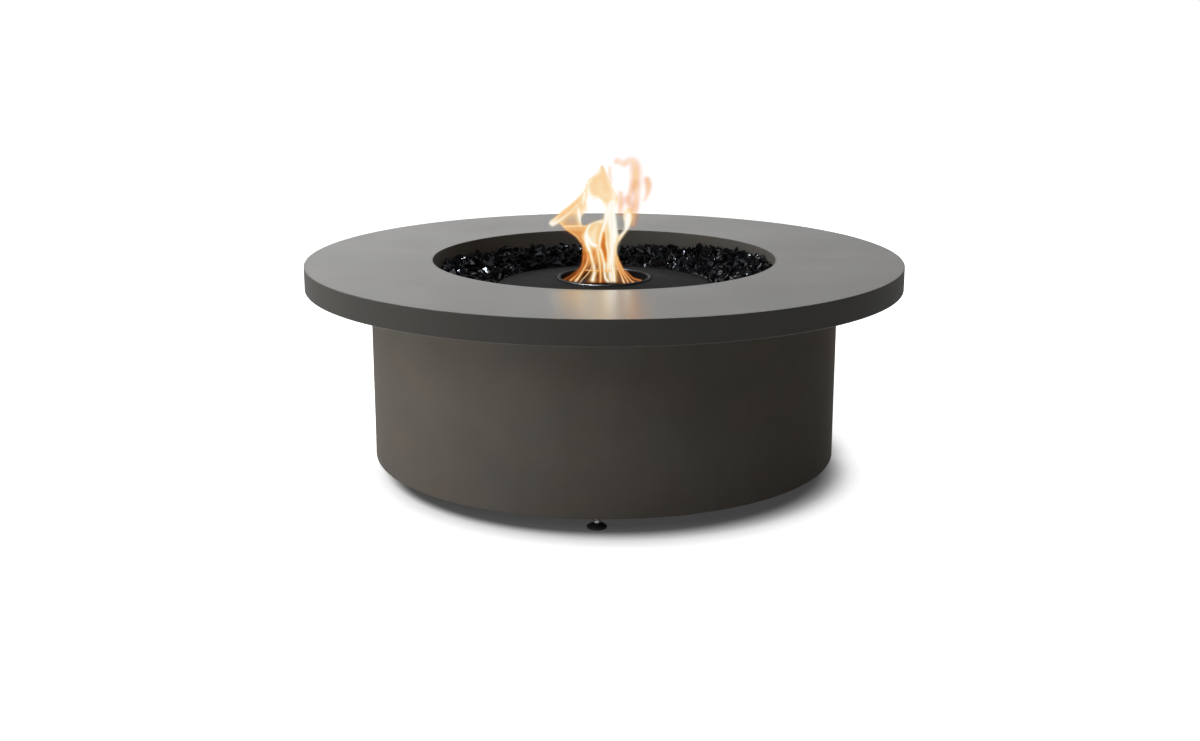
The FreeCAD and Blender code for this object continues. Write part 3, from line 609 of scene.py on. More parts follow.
FRONT_LINES = [
    # bright column on the right, and the thinner one beside it
    [(17, 388, 5.2, 0.9, 1.1), (15, 414, 6, 1, 1.25), (15, 436, 6.2, 1, 1.25), (18, 454, 6, 1, 1.25),
     (19, 472, 7.4, 1, 1.25), (20, 493, 8.4, 1, 1.25), (16, 520, 9.2, 1, 1.25), (13, 549, 9.8, 1, 1.25),
     (18, 568, 9.2, 1, 1.15), (10, 583, 7.5, 0.7, 0.95)],
    [(8, 414, 2.4, 1, 0.9), (9, 443, 2.6, 1, 0.95), (6, 472, 2.4, 1, 0.95), (4, 495, 1.8, 0.9, 0.9),
     (5, 512, 1.4, 0.8, 0.8)],
    # inner tongue on the left of it
    [(-22, 480, 9, 1, 0.75), (-22, 497, 11, 1, 0.75), (-16, 511, 8, 0.9, 0.7)],
    [(10, 386, 2.2, 1, 1.05), (3, 397, 2.2, 1, 1.05), (1, 409, 2.2, 1, 1.05), (0, 433, 2.5, 1, 1),
     (-6, 458, 2.7, 1, 1), (-15, 469, 3.1, 1, 1.1), (-27, 476, 3.6, 1, 1.15), (-35, 490, 3.4, 1, 1.15)],
    [(-25, 393, 3.8, 1, 1), (-21, 414, 2.8, 1, 0.95), (-25, 437, 2.6, 1, 0.9), (-31, 460, 2.8, 1, 1.05),
     (-37, 480, 3.6, 1, 1.2), (-38, 497, 3.6, 1, 1.2), (-32, 512, 3, 0.9, 1), (-20, 519, 2.8, 0.8, 0.9),
     (-6, 521, 3, 0.9, 1)],
    [(-10, 470, 3, 1, 0.9), (-7, 490, 3.2, 1, 1), (0, 512, 3.2, 1, 1.05), (5, 530, 3.4, 1, 1.1),
     (4, 549, 3.6, 1, 1.1), (-1, 563, 3.6, 1, 1.05), (-12, 572, 3.4, 0.9, 1.15),
     (-23, 572, 3.8, 0.9, 1.25), (-32, 580, 3.8, 0.9, 1.25), (-35, 593, 3.4, 0.9, 1.15),
     (-31, 606, 3, 0.8, 1), (-22, 616, 3, 0.7, 0.85)],
    # head
    [(4, 575, 10, 0.8, 0.72), (-8, 590, 14, 0.6, 0.7), (-8, 606, 11, 0.6, 0.68)],
    [(22, 573, 3.4, 0.9, 1), (14, 596, 2.8, 0.8, 0.85), (4, 618, 2.6, 0.8, 0.75),
     (-4, 638, 2.2, 0.7, 0.6)],
    # wing on the left
    [(-84, 541, 8, 0.7, 0.72), (-66, 553, 9, 0.7, 0.74), (-52, 560, 8, 0.7, 0.74)],
    [(-110, 519, 4.8, 1, 1.25), (-98, 523, 3.6, 1, 1), (-84, 532, 3.4, 0.9, 0.85),
     (-70, 542, 3.6, 0.8, 0.75), (-58, 555, 4, 0.8, 0.8)],
    [(-108, 523, 2.8, 0.9, 0.9), (-92, 538, 2.6, 0.8, 0.65), (-72, 553, 2.6, 0.8, 0.6),
     (-55, 569, 2.6, 0.8, 0.7), (-42, 585, 2.4, 0.8, 0.8), (-38, 598, 2, 0.8, 0.8)],
    [(-56, 549, 2.4, 0.9, 0.9), (-54, 537, 2.8, 1, 1.1), (-52, 525, 2.6, 1, 1.05),
     (-50, 512, 2, 0.9, 0.9)],
    [(-42, 582, 2.8, 0.9, 1), (-44, 568, 3, 0.9, 1), (-47, 554, 2.4, 0.8, 0.8)],
    [(-92, 518, 2, 0.9, 0.7), (-80, 505, 2, 0.9, 0.65), (-61, 492, 2.4, 0.9, 0.6),
     (-50, 478, 2.4, 0.9, 0.5)],
    [(-82, 508, 5, 0.6, 0.5), (-62, 504, 6, 0.6, 0.45), (-46, 504, 5, 0.6, 0.45)],
    [(-86, 511, 1.8, 0.8, 0.82), (-62, 511, 1.8, 0.8, 0.82), (-40, 512, 1.8, 0.8, 0.78)],
    # tongue on the right
    [(53, 543, 6.2, 1, 1.05), (52, 528, 6.8, 1, 1.2), (48, 510, 4.8, 1, 1.15), (39, 494, 3.2, 1, 1),
     (31, 480, 2.4, 0.9, 0.8)],
    # painted highlight: a glowing line that stands for the lit far edge of the mouth seen through the
    # fire
    [(-40, 414.5, 1.2, 0.8, 0.68), (-14, 415, 1.2, 0.8, 0.72), (13, 414.5, 1.2, 0.8, 0.7)],
    # darker gap between the tongue and the column
    [(-1, 495, 2, 0.6, 0.3), (-1, 483, 2.2, 0.8, 0.2), (-2, 472, 2.6, 0.8, 0.14),
     (1, 460, 2.6, 0.8, 0.12), (3, 447, 2.2, 0.8, 0.16), (4, 436, 1.8, 0.6, 0.28)],
    # licks that come out of the mouth
    [(-62, 389, 2.4, 1, 0.85), (-54, 400, 2, 1, 0.75), (-45, 415, 2, 1, 0.7), (-36, 434, 2, 0.9, 0.55),
     (-34, 453, 2.2, 0.8, 0.45)],
    [(-73, 391, 2, 0.9, 0.5), (-61, 402, 2.4, 0.7, 0.3), (-49, 420, 3, 0.6, 0.26),
     (-43, 447, 3, 0.7, 0.28)],
    [(-86, 394, 2, 0.4, 0.22), (-71, 402, 2.4, 0.3, 0.2), (-54, 415, 2.6, 0.3, 0.2)],
    [(-8, 387, 2.6, 1, 0.45), (-8, 414, 2.4, 1, 0.6), (-11, 443, 2.4, 1, 0.75), (-14, 464, 2.2, 1, 0.8)],
    [(22, 386, 2.6, 1, 1), (21, 408, 2.6, 1, 0.95), (18, 424, 2.6, 1, 0.95)],
    [(43, 388, 2, 1, 0.85), (38, 402, 1.8, 0.9, 0.7), (30, 425, 2.2, 0.9, 0.65), (24, 449, 2.4, 1, 0.75),
     (24, 470, 2.4, 1, 0.8)],
    [(52, 391, 1.6, 0.9, 0.6), (45, 402, 1.6, 0.9, 0.6), (36, 420, 2, 0.9, 0.55),
     (28, 445, 2.2, 0.9, 0.6)],
    [(64, 392, 1.5, 0.7, 0.42), (54, 399, 1.5, 0.7, 0.42), (42, 416, 1.8, 0.8, 0.5),
     (33, 434, 2, 0.8, 0.5)],
    [(79, 396, 1.5, 0.7, 0.38), (63, 401, 1.5, 0.7, 0.38), (47, 415, 1.8, 0.8, 0.42)],
]
# Parts of the body that are thinner or darker than the rest, as (x, height, half width, share kept)
FRONT_THIN = [
    (-78, 527, 12, 0.45), (-66, 521, 12, 0.45), (-44, 552, 6, 0.7), (-16, 422, 12, 0.4),
    (-22, 402, 16, 0.3), (-44, 404, 14, 0.35), (36, 398, 12, 0.4), (-70, 400, 16, 0.22),
    (-50, 436, 10, 0.55), (62, 398, 14, 0.45),
]
WISPS = [
    [(27, 649, 5.5, 0.5, 0.4), (36, 646, 5.5, 0.45, 0.4), (44, 645, 6, 0.6, 0.45), (54, 650, 6, 0.5, 0.4),
     (63, 645, 8.5, 0.6, 0.42), (67, 628, 8.5, 0.8, 0.5), (65, 606, 7.5, 0.75, 0.5),
     (58, 588, 5.5, 0.6, 0.42), (50, 566, 5, 0.4, 0.4)],
    [(68, 600, 7, 0.55, 0.42), (69, 578, 6, 0.6, 0.42), (66, 556, 7, 0.75, 0.42),
     (64, 534, 5.5, 0.55, 0.4), (62, 514, 4, 0.45, 0.4)],
    [(91, 610, 5, 0.75, 0.42), (94, 598, 5.5, 0.8, 0.45), (92, 582, 4.5, 0.6, 0.42),
     (86, 568, 3.4, 0.4, 0.4)],
    [(12, 636, 3, 0.4, 0.42), (12, 622, 3.4, 0.45, 0.42), (16, 606, 3, 0.3, 0.42)],
    [(35, 582, 4.8, 0.5, 0.38), (36, 562, 5.5, 0.7, 0.4), (34, 540, 4.8, 0.5, 0.38)],
    [(50, 572, 4.5, 0.45, 0.4), (54, 558, 5, 0.5, 0.4), (55, 546, 4.5, 0.4, 0.4)],
]
SIDE_OUTLINE = [
    (-78, 399), (-56, 418), (-40, 440), (-34, 466), (-40, 492), (-56, 516), (-64, 548), (-60, 572),
    (-46, 548), (-33, 534), (-29, 556), (-26, 582), (-14, 606), (-4, 632), (6, 612), (16, 586), (19, 560),
    (24, 536), (34, 546), (48, 564), (46, 538), (37, 512), (32, 486), (29, 464), (32, 442), (48, 418),
    (74, 399), (0, 384),
]
SIDE_LINES = [
    [(4, 390, 3, 0.9, 1), (3, 430, 5, 1, 1.1), (-1, 470, 6.2, 1, 1.1), (-6, 510, 7.5, 1, 1.05),
     (-2, 548, 8.5, 1, 1), (-6, 586, 7, 0.7, 0.85)],
    [(-30, 394, 2.2, 0.9, 0.9), (-22, 420, 2.4, 0.9, 0.9), (-18, 450, 3, 1, 0.95),
     (-26, 486, 3.6, 1, 0.95), (-46, 516, 4, 0.9, 0.85), (-58, 546, 3, 0.7, 0.7)],
    [(34, 396, 2.2, 0.9, 0.9), (22, 424, 2.4, 0.9, 0.9), (16, 450, 3, 1, 0.95), (20, 488, 3.4, 1, 0.95),
     (34, 524, 3.4, 0.9, 0.85), (43, 546, 2.6, 0.7, 0.7)],
    [(-58, 398, 2.4, 0.9, 0.6), (-42, 418, 2.6, 0.9, 0.55), (-30, 444, 2.6, 0.9, 0.5)],
    [(56, 398, 2.4, 0.9, 0.65), (40, 416, 2.4, 0.9, 0.6), (27, 444, 2.4, 0.9, 0.5)],
    [(-10, 392, 2.6, 0.9, 0.7), (-10, 430, 2.6, 0.9, 0.7), (-12, 466, 3, 0.9, 0.8)],
]
SIDE_THIN = [(-20, 400, 12, 0.4), (18, 402, 10, 0.4), (-46, 402, 10, 0.45)]
SIDE_PLACE = 0.016
SIDE_TURN = 91.4
FRONT_LOW, FRONT_HIGH = (-0.135, MOUTH_INSIDE - 0.010), (0.120, 0.670)
SIDE_LOW, SIDE_HIGH = (-0.095, MOUTH_INSIDE - 0.010), (0.095, 0.650)
FRONT_WAVE = 1.0
SIDE_WAVE = 0.1
FLAME_MIDDLE = -0.008
FRONT_BASE_HEAT = 0.23
SIDE_BASE_HEAT = 0.42
UPPER_HEAT = 0.65
FLAME_LIGHT = 0.8

# In a reflection the flame is dimmer close by and brighter from further off
MIRRORED_NEAR = -0.8
MIRRORED_FAR = 1.6
MIRRORED_BETWEEN = (0.33, 0.40)

# Heights between which a part of the flame begins or ends
UPPER_PART = (0.475, 0.550)
LOWER_PART = (0.400, 0.450)
HEAD_PART = (0.47, 0.52)
MOUTH_PART = (0.398, 0.440)

# Streaks: how wide the flow is at the waist, the mouth and the head
STREAK_SEED = 7
STREAK_COUNT = 64
STREAK_REACH = 1.7
WAIST_HALF = 0.034
MOUTH_SPREAD = 0.055
MOUTH_SPREAD_HEIGHT = 0.018
HEAD_SPREAD = 0.05

STREAK_WAVE = 0.04
STREAK_WAVINESS = 70

# The body: how deep inside its outline it is full, and how it covers and glows
BODY_EDGE = (-0.0018, 0.0055)
BODY_REACH = (-0.0030, 0.0030)
BODY_COVER = 0.88
UPPER_THINNER = 0.06
LOWER_COVER = 0.32
BAND_HEAT = 0.24
UPPER_BANDS_LESS = 0.7
RIM_HEAT = 0.20
RIM_DEPTH = 0.005
RIM_WIDTH = 0.0028

# The bright lines: each has a core and a halo, which fade with the square of the distance
HALO = 0.38
HALO_COOLER = 0.22
HALO_FADE = 0.16
MOUTH_COOLER = 0.5
LEAST_HEAT = 0.05
CORE_FADE = 0.62
CORE_COOLER = 0.4
CORE_OUTSIDE = 0.4
RUN_STEPS = 14
OUTLINE_STEPS = 5

# The sheet's waves, as (depth, radians a metre across, radians a metre up)
WAVES = ((0.009, 25, 38), (0.005, 70, 0))
MOUTH_FADE = 0.008
SHOWN_COVER = 0.01

# Tongues that rise from inside the mouth
LICK_COUNT = 8
LICK_FROM = math.radians(-30)
LICK_TO = math.radians(210)
LICK_SEED = 5
LICK_STEPS = 7
LICK_ACROSS = 7
LICK_FOOT = (0.064, 0.080)
LICK_TOP = (0.455, 0.485)
LICK_SWAY = 0.010
LICK_HEAT = (0.3, 0.9)

FIRE_WATTS = 0.18
FIRE_COLOUR = (1.0, 0.45, 0.18)
FIRE_SIZE = 0.03


def in_metres(rows):
    """Rows of numbers that begin with lengths in millimetres, with those made metres."""
    out = np.array(rows, float)
    out[:, :3] *= MM
    return out


def smooth_run(points, steps):
    """Points of a Catmull-Rom curve through rows of numbers."""
    rows = np.asarray(points, float)
    padded = np.vstack([2 * rows[0] - rows[1], rows, 2 * rows[-1] - rows[-2]])
    out = []
    for i in range(len(rows) - 1):
        a, b, c, d = padded[i:i + 4]
        for t in np.linspace(0, 1, steps, endpoint=i == len(rows) - 2):
            out.append(0.5 * (
                2 * b + (c - a) * t + (2 * a - 5 * b + 4 * c - d) * t * t
                + (3 * b - a - 3 * c + d) * t ** 3))
    return np.array(out)


def depth_inside(x, z, outline):
    """How far each point lies inside a closed smooth outline, negative outside it."""
    ring = smooth_run(in_metres([*outline, outline[0]]), OUTLINE_STEPS)
    inside = np.zeros(len(x), bool)
    nearest = np.full(len(x), 1e9)
    for (x0, z0), (x1, z1) in zip(ring[:-1], ring[1:]):
        crosses = (z0 > z) != (z1 > z)
        rise = z1 - z0 if z1 != z0 else 1e-12
        inside ^= crosses & (x < (x1 - x0) * (z - z0) / rise + x0)
        length = (x1 - x0) ** 2 + (z1 - z0) ** 2 + 1e-12
        along = np.clip(((x - x0) * (x1 - x0) + (z - z0) * (z1 - z0)) / length, 0, 1)
        nearest = np.minimum(nearest, np.hypot(x - x0 - along * (x1 - x0), z - z0 - along * (z1 - z0)))
    return np.where(inside, nearest, -nearest)


def soft_step(value, low, high):
    share = np.clip((value - low) / (high - low), 0, 1)
    return share * share * (3 - 2 * share)


def set_values(mesh, name, values):
    attribute = mesh.attributes.new(name, "FLOAT", "POINT")
    attribute.data.foreach_set("value", np.asarray(values, np.float32))


class Sheet:
    """Cover and heat of a flat flame, painted on a grid of points."""

    def __init__(self, low, high):
        self.across = np.arange(low[0], high[0], FLAME_STEP)
        self.up = np.arange(low[1], high[1], FLAME_STEP)
        x, z = np.meshgrid(self.across, self.up)
        self.x, self.z = x.ravel(), z.ravel()
        self.cover = np.zeros(len(self.x))
        self.heat = np.zeros(len(self.x))
        self.inside = np.ones(len(self.x))

    def streaks(self, middle, chance):
        """Uneven bands from 0 to 1 that follow the flow in to the waist and out again."""
        spread = MOUTH_SPREAD * np.exp(-(self.z - MOUTH_INSIDE) / MOUTH_SPREAD_HEIGHT)
        half = WAIST_HALF + spread + HEAD_SPREAD * soft_step(self.z, *HEAD_PART)
        along = (self.x - middle) / half + STREAK_WAVE * np.sin(self.z * STREAK_WAVINESS)
        bands = [chance.random() for _ in range(STREAK_COUNT)]
        return np.interp(along, np.linspace(-STREAK_REACH, STREAK_REACH, STREAK_COUNT), bands)

    def body(self, outline, middle, base, chance, hole=None):
        """The thin body inside an outline, with a pale rim in its upper part."""
        depth = depth_inside(self.x, self.z, outline)
        if hole:
            depth = np.minimum(depth, -depth_inside(self.x, self.z, hole))
        upper = soft_step(self.z, *UPPER_PART)
        low = 1 - soft_step(self.z, *LOWER_PART)
        streaks = self.streaks(middle, chance)
        self.cover = soft_step(depth, *BODY_EDGE) * (BODY_COVER - UPPER_THINNER * upper)
        self.cover *= 1 - low * (1 - LOWER_COVER * streaks ** 2)
        self.inside = soft_step(depth, *BODY_REACH)
        rim = RIM_HEAT * np.exp(-((depth - RIM_DEPTH) / RIM_WIDTH) ** 2) * upper
        banded = BAND_HEAT * (streaks - 0.5) * (1 - UPPER_BANDS_LESS * upper)
        self.heat = base + (UPPER_HEAT - base) * upper + rim + banded

    def thin(self, spots):
        """Thins the body round each spot of (x, height, half width, share kept)."""
        for x, z, width, kept in in_metres(spots):
            near = np.exp(-((self.x - x) ** 2 + (self.z - z) ** 2) / width ** 2)
            self.cover *= 1 - (1 - kept) * near

    def paint(self, share, heat):
        """Lays a layer of its own heat over what is there, as dense as its share."""
        before = self.cover * (1 - share)
        self.heat = (self.heat * before + heat * share) / np.maximum(before + share, 1e-6)
        self.cover = before + share

    def line(self, points, halo=HALO, cooler=HALO_COOLER):
        """A bright run with a soft edge, inside a wider and cooler halo."""
        nearest = np.full(len(self.x), 1e9)
        cover, heat = np.zeros(len(self.x)), np.zeros(len(self.x))
        for x, z, width, dense, warmth in smooth_run(in_metres(points), RUN_STEPS):
            far = ((self.x - x) ** 2 + (self.z - z) ** 2) / width ** 2
            nearer = far < nearest
            nearest = np.where(nearer, far, nearest)
            cover = np.where(nearer, dense, cover)
            heat = np.where(nearer, warmth, heat)
        halo_cover = halo * cover * np.exp(-HALO_FADE * nearest) * self.inside
        halo_heat = heat - (cooler + MOUTH_COOLER * (1 - soft_step(self.z, *MOUTH_PART)))
        self.paint(halo_cover, np.maximum(halo_heat, LEAST_HEAT))
        core = np.exp(-CORE_FADE * nearest)
        core_cover = cover * core * (CORE_OUTSIDE + (1 - CORE_OUTSIDE) * self.inside)
        self.paint(core_cover, heat - CORE_COOLER * (1 - core))

    def finish(self, name, turn, aside, wave, look):
        """Makes the painted part of the grid a waved sheet, turned and moved aside."""
        waves = [reach * np.sin(self.x * across + self.z * up) for reach, across, up in WAVES]
        depth = wave * sum(waves)
        c, s = math.cos(turn), math.sin(turn)
        fade = soft_step(self.z, MOUTH_INSIDE - MOUTH_FADE, MOUTH_INSIDE)
        cover = self.cover * fade
        vertices = np.column_stack([self.x * c - depth * s + aside, self.x * s + depth * c, self.z])
        wide = len(self.across)
        shown = (cover > SHOWN_COVER).reshape(len(self.up), wide)
        faces = []
        for row in range(len(self.up) - 1):
            for column in range(wide - 1):
                if shown[row:row + 2, column:column + 2].any():
                    at = row * wide + column
                    faces.append((at, at + 1, at + wide + 1, at + wide))
        used = sorted({i for face in faces for i in face})
        place = {old: new for new, old in enumerate(used)}
        faces = [tuple(place[i] for i in face) for face in faces]
        made = mesh_object(name, vertices[used], faces, look, smooth=True)
        set_values(made.data, "cover", cover[used])
        set_values(made.data, "warmth", self.heat[used])
        return made


def flame_look():
    """Glows by its own heat, and covers what is behind it as far as it is dense."""
    made, n = material("flame")
    cover = n.add("ShaderNodeAttribute", attribute_name="cover").outputs["Fac"]
    heat = n.add("ShaderNodeAttribute", attribute_name="warmth").outputs["Fac"]
    ramp = n.add("ShaderNodeValToRGB", {0: heat})
    stops = ramp.color_ramp.elements
    stops[0].position, stops[0].color = 0.0, (0.30, 0.055, 0.010, 1)
    stops[1].position, stops[1].color = 1.0, (1.0, 0.975, 0.88, 1)
    between = ((0.25, (0.76, 0.25, 0.05)), (0.5, (0.92, 0.55, 0.22)), (0.75, (0.97, 0.78, 0.50)))
    for position, colour in between:
        stop = stops.new(position)
        stop.color = (*colour, 1)
    path = n.add("ShaderNodeLightPath").outputs
    strength = n.map(path["Is Diffuse Ray"], 0.0, 1.0, 1.0, FLAME_LIGHT)
    mirrored = n.map(path["Ray Length"], *MIRRORED_BETWEEN, MIRRORED_NEAR, MIRRORED_FAR)
    strength = n.math("ADD", strength, n.math("MULTIPLY", path["Is Glossy Ray"], mirrored))
    glow = n.add("ShaderNodeEmission", {"Color": ramp.outputs[0], "Strength": strength})
    clear = n.add("ShaderNodeBsdfTransparent")
    both = n.add("ShaderNodeMixShader", {0: cover, 1: clear.outputs[0], 2: glow.outputs[0]})
    n.add("ShaderNodeOutputMaterial", {0: both.outputs[0]})
    return made


def front_sheet(chance, look):
    sheet = Sheet(FRONT_LOW, FRONT_HIGH)
    sheet.body(FRONT_OUTLINE, FLAME_MIDDLE, FRONT_BASE_HEAT, chance, FRONT_HOLE)
    sheet.thin(FRONT_THIN)
    for line in FRONT_LINES:
        sheet.line(line)
    # The wisps lie beside the body and aren't kept inside it
    sheet.inside[:] = 1.0
    for line in WISPS:
        sheet.line(line, halo=0.15, cooler=0.0)
    return sheet.finish("flame_front", turn=0.0, aside=0.0, wave=FRONT_WAVE, look=look)


def side_sheet(chance, look):
    sheet = Sheet(SIDE_LOW, SIDE_HIGH)
    sheet.body(SIDE_OUTLINE, 0.0, SIDE_BASE_HEAT, chance)
    sheet.thin(SIDE_THIN)
    for line in SIDE_LINES:
        sheet.line(line)
    turn = math.radians(SIDE_TURN)
    return sheet.finish("flame_side", turn=turn, aside=SIDE_PLACE, wave=SIDE_WAVE, look=look)


def lick(name, chance, angle, look):
    """One narrow tongue that rises from inside the mouth and leans in to the waist."""
    out = Vector((math.cos(angle), math.sin(angle), 0))
    side = Vector((-out.y, out.x, 0))
    foot = chance.uniform(*LICK_FOOT)
    top = chance.uniform(*LICK_TOP)
    sway = chance.uniform(-LICK_SWAY, LICK_SWAY)
    hot = chance.uniform(*LICK_HEAT)
    rows = [
        # (distance out, distance aside, height, half width, cover, heat)
        (foot, 0.0, MOUTH_INSIDE - 0.006, 0.0040, 0.0, 0.2),
        (foot * 0.86, sway * 0.3, MOUTH_INSIDE + 0.006, 0.0034, 0.55, 0.15 + 0.6 * hot),
        (foot * 0.54, sway * 0.6, MOUTH_INSIDE + 0.028, 0.0034, 0.55, 0.15 + 0.5 * hot),
        (0.024, sway, (MOUTH_INSIDE + top) / 2 + 0.012, 0.0036, 0.40, 0.15 + 0.4 * hot),
        (0.016, sway * 1.2, top, 0.0030, 0.0, 0.3 + 0.3 * hot),
    ]
    run = smooth_run(rows, LICK_STEPS)
    vertices, faces, cover, heat = [], [], [], []
    for inwards, aside, height, width, dense, warm in run:
        for n in range(LICK_ACROSS):
            share = 2 * n / (LICK_ACROSS - 1) - 1
            vertices.append(out * inwards + side * (aside + width * share) + Vector((0, 0, height)))
            cover.append(max(0.0, dense) * (1 - share * share))
            heat.append(warm * (1 - 0.5 * share * share))
    for row in range(len(run) - 1):
        for n in range(LICK_ACROSS - 1):
            at = row * LICK_ACROSS + n
            faces.append((at, at + 1, at + LICK_ACROSS + 1, at + LICK_ACROSS))
    made = mesh_object(name, vertices, faces, look, smooth=True)
    set_values(made.data, "cover", cover)
    set_values(made.data, "warmth", heat)
    return made


def flame():
    """The fire, which is no piece of the table: nothing of it is solid."""
    look = flame_look()
    chance = random.Random(STREAK_SEED)
    parts = [front_sheet(chance, look), side_sheet(chance, look)]
    chance = random.Random(LICK_SEED)
    for n in range(LICK_COUNT):
        angle = LICK_FROM + (LICK_TO - LICK_FROM) * (n + chance.uniform(-0.25, 0.25)) / (LICK_COUNT - 1)
        parts.append(lick(f"flame_lick_{n}", chance, angle, look))
    for part in parts:
        part.visible_shadow = False
        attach(part, "burner")
    data = bpy.data.lights.new("fire_light", "POINT")
    data.energy = FIRE_WATTS
    data.color = FIRE_COLOUR
    data.shadow_soft_size = FIRE_SIZE
    glow = bpy.data.objects.new("fire_light", data)
    bpy.context.scene.collection.objects.link(glow)
    glow.location = (0, 0, MOUTH_INSIDE)
    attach(glow, "burner")


def area_light(name, place, target, size, watts, only=None):
    """A lamp that lights matte surfaces, or only one node, and doesn't show in a reflection."""
    data = bpy.data.lights.new(name, "AREA")
    data.shape = "RECTANGLE"
    data.size, data.size_y = size
    data.energy = watts
    lamp = bpy.data.objects.new(name, data)
    bpy.context.scene.collection.objects.link(lamp)
    lamp.location = place
    lamp.rotation_euler = (Vector(target) - Vector(place)).to_track_quat("-Z", "Y").to_euler()
    lamp.visible_glossy = False
    lamp.visible_camera = False
    if only:
        shown = bpy.data.collections.new(name)
        shown.objects.link(frame["nodes"][only])
        lamp.light_linking.receiver_collection = shown
    return lamp


GLINT_COLOUR = (0.86, 0.93, 1.0)


def glint(name, place, size, watts, only=None):
    """A small bright window that shows only in glossy surfaces, or only in one node."""
    lamp = area_light(name, place, (0, 0, TOP_SURFACE), (size, size), watts, only)
    lamp.visible_glossy = True
    lamp.visible_diffuse = False
    lamp.data.color = GLINT_COLOUR


def lights():
    """Soft lamps from above and from the left, weaker ones behind, and glints for the glass."""
    middle = (0, 0, 0.30)
    area_light("overhead", (-1.1, 0.4, 2.7), middle, size=(2.6, 2.6), watts=64)
    area_light("left_softbox", (-2.94, -0.96, 0.35), (0, 0, 0.10), size=(2.2, 0.9), watts=49)
    area_light("high_softbox", (-1.7, -2.5, 2.3), (0, 0, 0.2), size=(1.5, 1.5), watts=24)
    area_light("back_fill", (1.5, 2.7, 0.9), middle, size=(1.4, 1.4), watts=17)
    area_light("right_rim", (1.45, 2.5, 0.5), middle, size=(1.2, 0.6), watts=50, only="pedestal")
    glint("glint_over", (-1.35, 0.15, 2.7), size=0.22, watts=7)
    glint("glint_lip", (-0.52, -0.19, 1.55), size=0.45, watts=330, only="burner_neck")
    glint("glint_left", (-1.2, 1.7, 2.7), size=0.20, watts=5)
    glint("glint_right", (1.0, 1.7, 2.6), size=0.20, watts=5)


def light_kinds(nodes):
    """1 for rays that come from the camera, a reflection or glass, and 0 for others."""
    path = nodes.add("ShaderNodeLightPath").outputs
    seen = nodes.math("MAXIMUM", path["Is Camera Ray"], path["Is Glossy Ray"])
    return nodes.math("MAXIMUM", seen, path["Is Transmission Ray"]), path


# The white wall as reflections show it. It dims upwards and towards the right.
WALL_DIMS = (0.30, 0.48)
WALL_ABOVE = 0.05
WALL_ACROSS = (-0.25, 0.25)
WALL_RIGHT = 0.59
WORLD_LIGHT = 0.10
WHITE = (1, 1, 1, 1)


def world():
    """A white studio wall, dimmer above and on the right, that lights the object only a little."""
    made = bpy.data.worlds.new("studio")
    made.use_nodes = True
    n = Nodes(made.node_tree)
    seen, path = light_kinds(n)
    towards = n.add("ShaderNodeTexCoord").outputs["Generated"]
    across, _, up = n.add("ShaderNodeSeparateXYZ", {0: towards}).outputs
    above = n.map(up, *WALL_DIMS, 1.0, WALL_ABOVE)
    aside = n.map(across, *WALL_ACROSS, 1.0, WALL_RIGHT)
    wall = n.math("MAXIMUM", n.math("MULTIPLY", above, aside), path["Is Camera Ray"])
    strength = n.add("ShaderNodeMix", {0: seen, 2: WORLD_LIGHT, 3: wall}, data_type="FLOAT").outputs[0]
    back = n.add("ShaderNodeBackground", {"Color": WHITE, "Strength": strength})
    n.add("ShaderNodeOutputWorld", {0: back.outputs[0]})
    bpy.context.scene.world = made
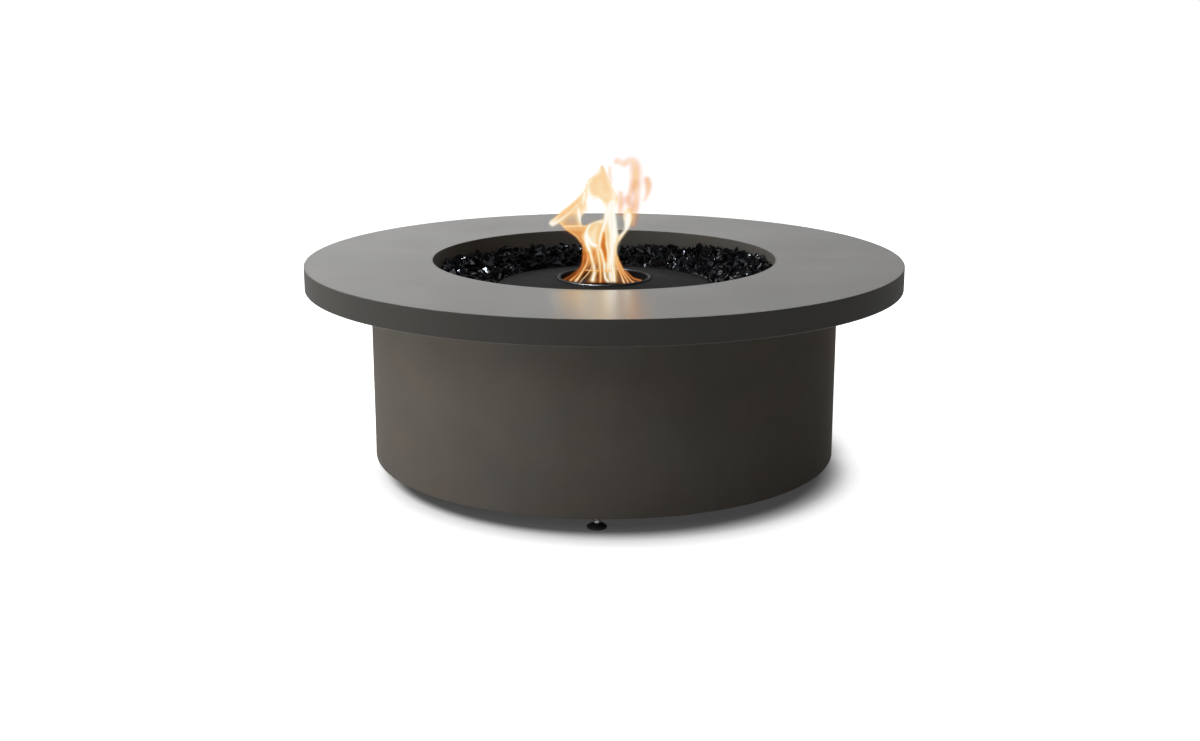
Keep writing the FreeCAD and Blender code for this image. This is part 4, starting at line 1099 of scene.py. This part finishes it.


# The floor has a painted shadow under the drum, round one middle, and glows more and more round another,
# which paints the shadow's soft edge
FLOOR_HALF = 40.0
FLOOR_DULL = (0.78, 0.78, 0.78)
FLOOR_PALE = (0.82, 0.82, 0.82)
FLOOR_BOUNCE = (0.88, 0.875, 0.87)
BLOT_SCALE = 3.0
SHADE_PLACE = (0.008, -0.040, 0)
SHADE_CORE = 0.451
SHADE_EDGE = (0.483, 0.536)
SHADE_SIDES = (-0.45, 0.45)
SHADE_DEPTH = 0.13
GLOW_PLACE = (0.011, -0.062, 0)
GLOW_FROM = 0.476
GLOW_TO = 0.560
GLOW_UNDER = 0.051
GLOW_BESIDE = 0.40


def floor_look():
    """Pale, with the table's shadow partly rendered and partly painted, alike behind and in front, and
    white further off.
    """
    made, n = material("pale_floor")
    seen, path = light_kinds(n)
    place = n.place()
    across, along, _ = n.add("ShaderNodeSeparateXYZ", {0: place}).outputs
    forward = n.math("MULTIPLY", n.math("ABSOLUTE", along), -1.0)
    folded = n.add("ShaderNodeCombineXYZ", {0: across, 1: forward}).outputs[0]
    blot = n.noise(place, BLOT_SCALE, detail=3)
    pale = n.mix(n.map(blot, 0.3, 0.7), FLOOR_DULL, FLOOR_PALE)
    # Painted shadow: the floor's colour is darkened under the drum, fading out at the edge
    shade_to = n.map(across, *SHADE_SIDES, *SHADE_EDGE)
    edge = n.ease(n.radius_round(folded, SHADE_PLACE), SHADE_CORE, shade_to)
    deep = n.mix(1.0, pale, [SHADE_DEPTH] * 3, "MULTIPLY")
    colour = n.mix(path["Is Diffuse Ray"], n.mix(edge, deep, pale), FLOOR_BOUNCE)
    # The glow seen by the camera is low under the drum and rises outwards: it paints the shadow's soft
    # edge
    rise = n.map(n.radius_round(folded, GLOW_PLACE), GLOW_FROM, GLOW_TO, GLOW_BESIDE, 1 - GLOW_UNDER)
    own = n.math("MULTIPLY_ADD", edge, rise, GLOW_UNDER)
    matte = n.add("ShaderNodeBsdfDiffuse", {"Color": colour})
    glow = n.add("ShaderNodeEmission", {"Color": WHITE, "Strength": n.math("MULTIPLY", own, seen)})
    both = n.add("ShaderNodeAddShader", {0: matte.outputs[0], 1: glow.outputs[0]})
    n.add("ShaderNodeOutputMaterial", {0: both.outputs[0]})
    return made


def floor():
    h = FLOOR_HALF
    corners = [(-h, -h, 0), (h, -h, 0), (h, h, 0), (-h, h, 0)]
    plane = mesh_object("floor", corners, [(0, 1, 2, 3)], floor_look())
    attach(plane, "foot_front")


camera()
looks = dress_cad()
crushed_glass(looks["glass"])
for side in SIDES:
    threaded_stem(side, looks["zinc"])
flame()
lights()
world()
floor()
bpy.context.scene.view_settings.view_transform = "Standard"
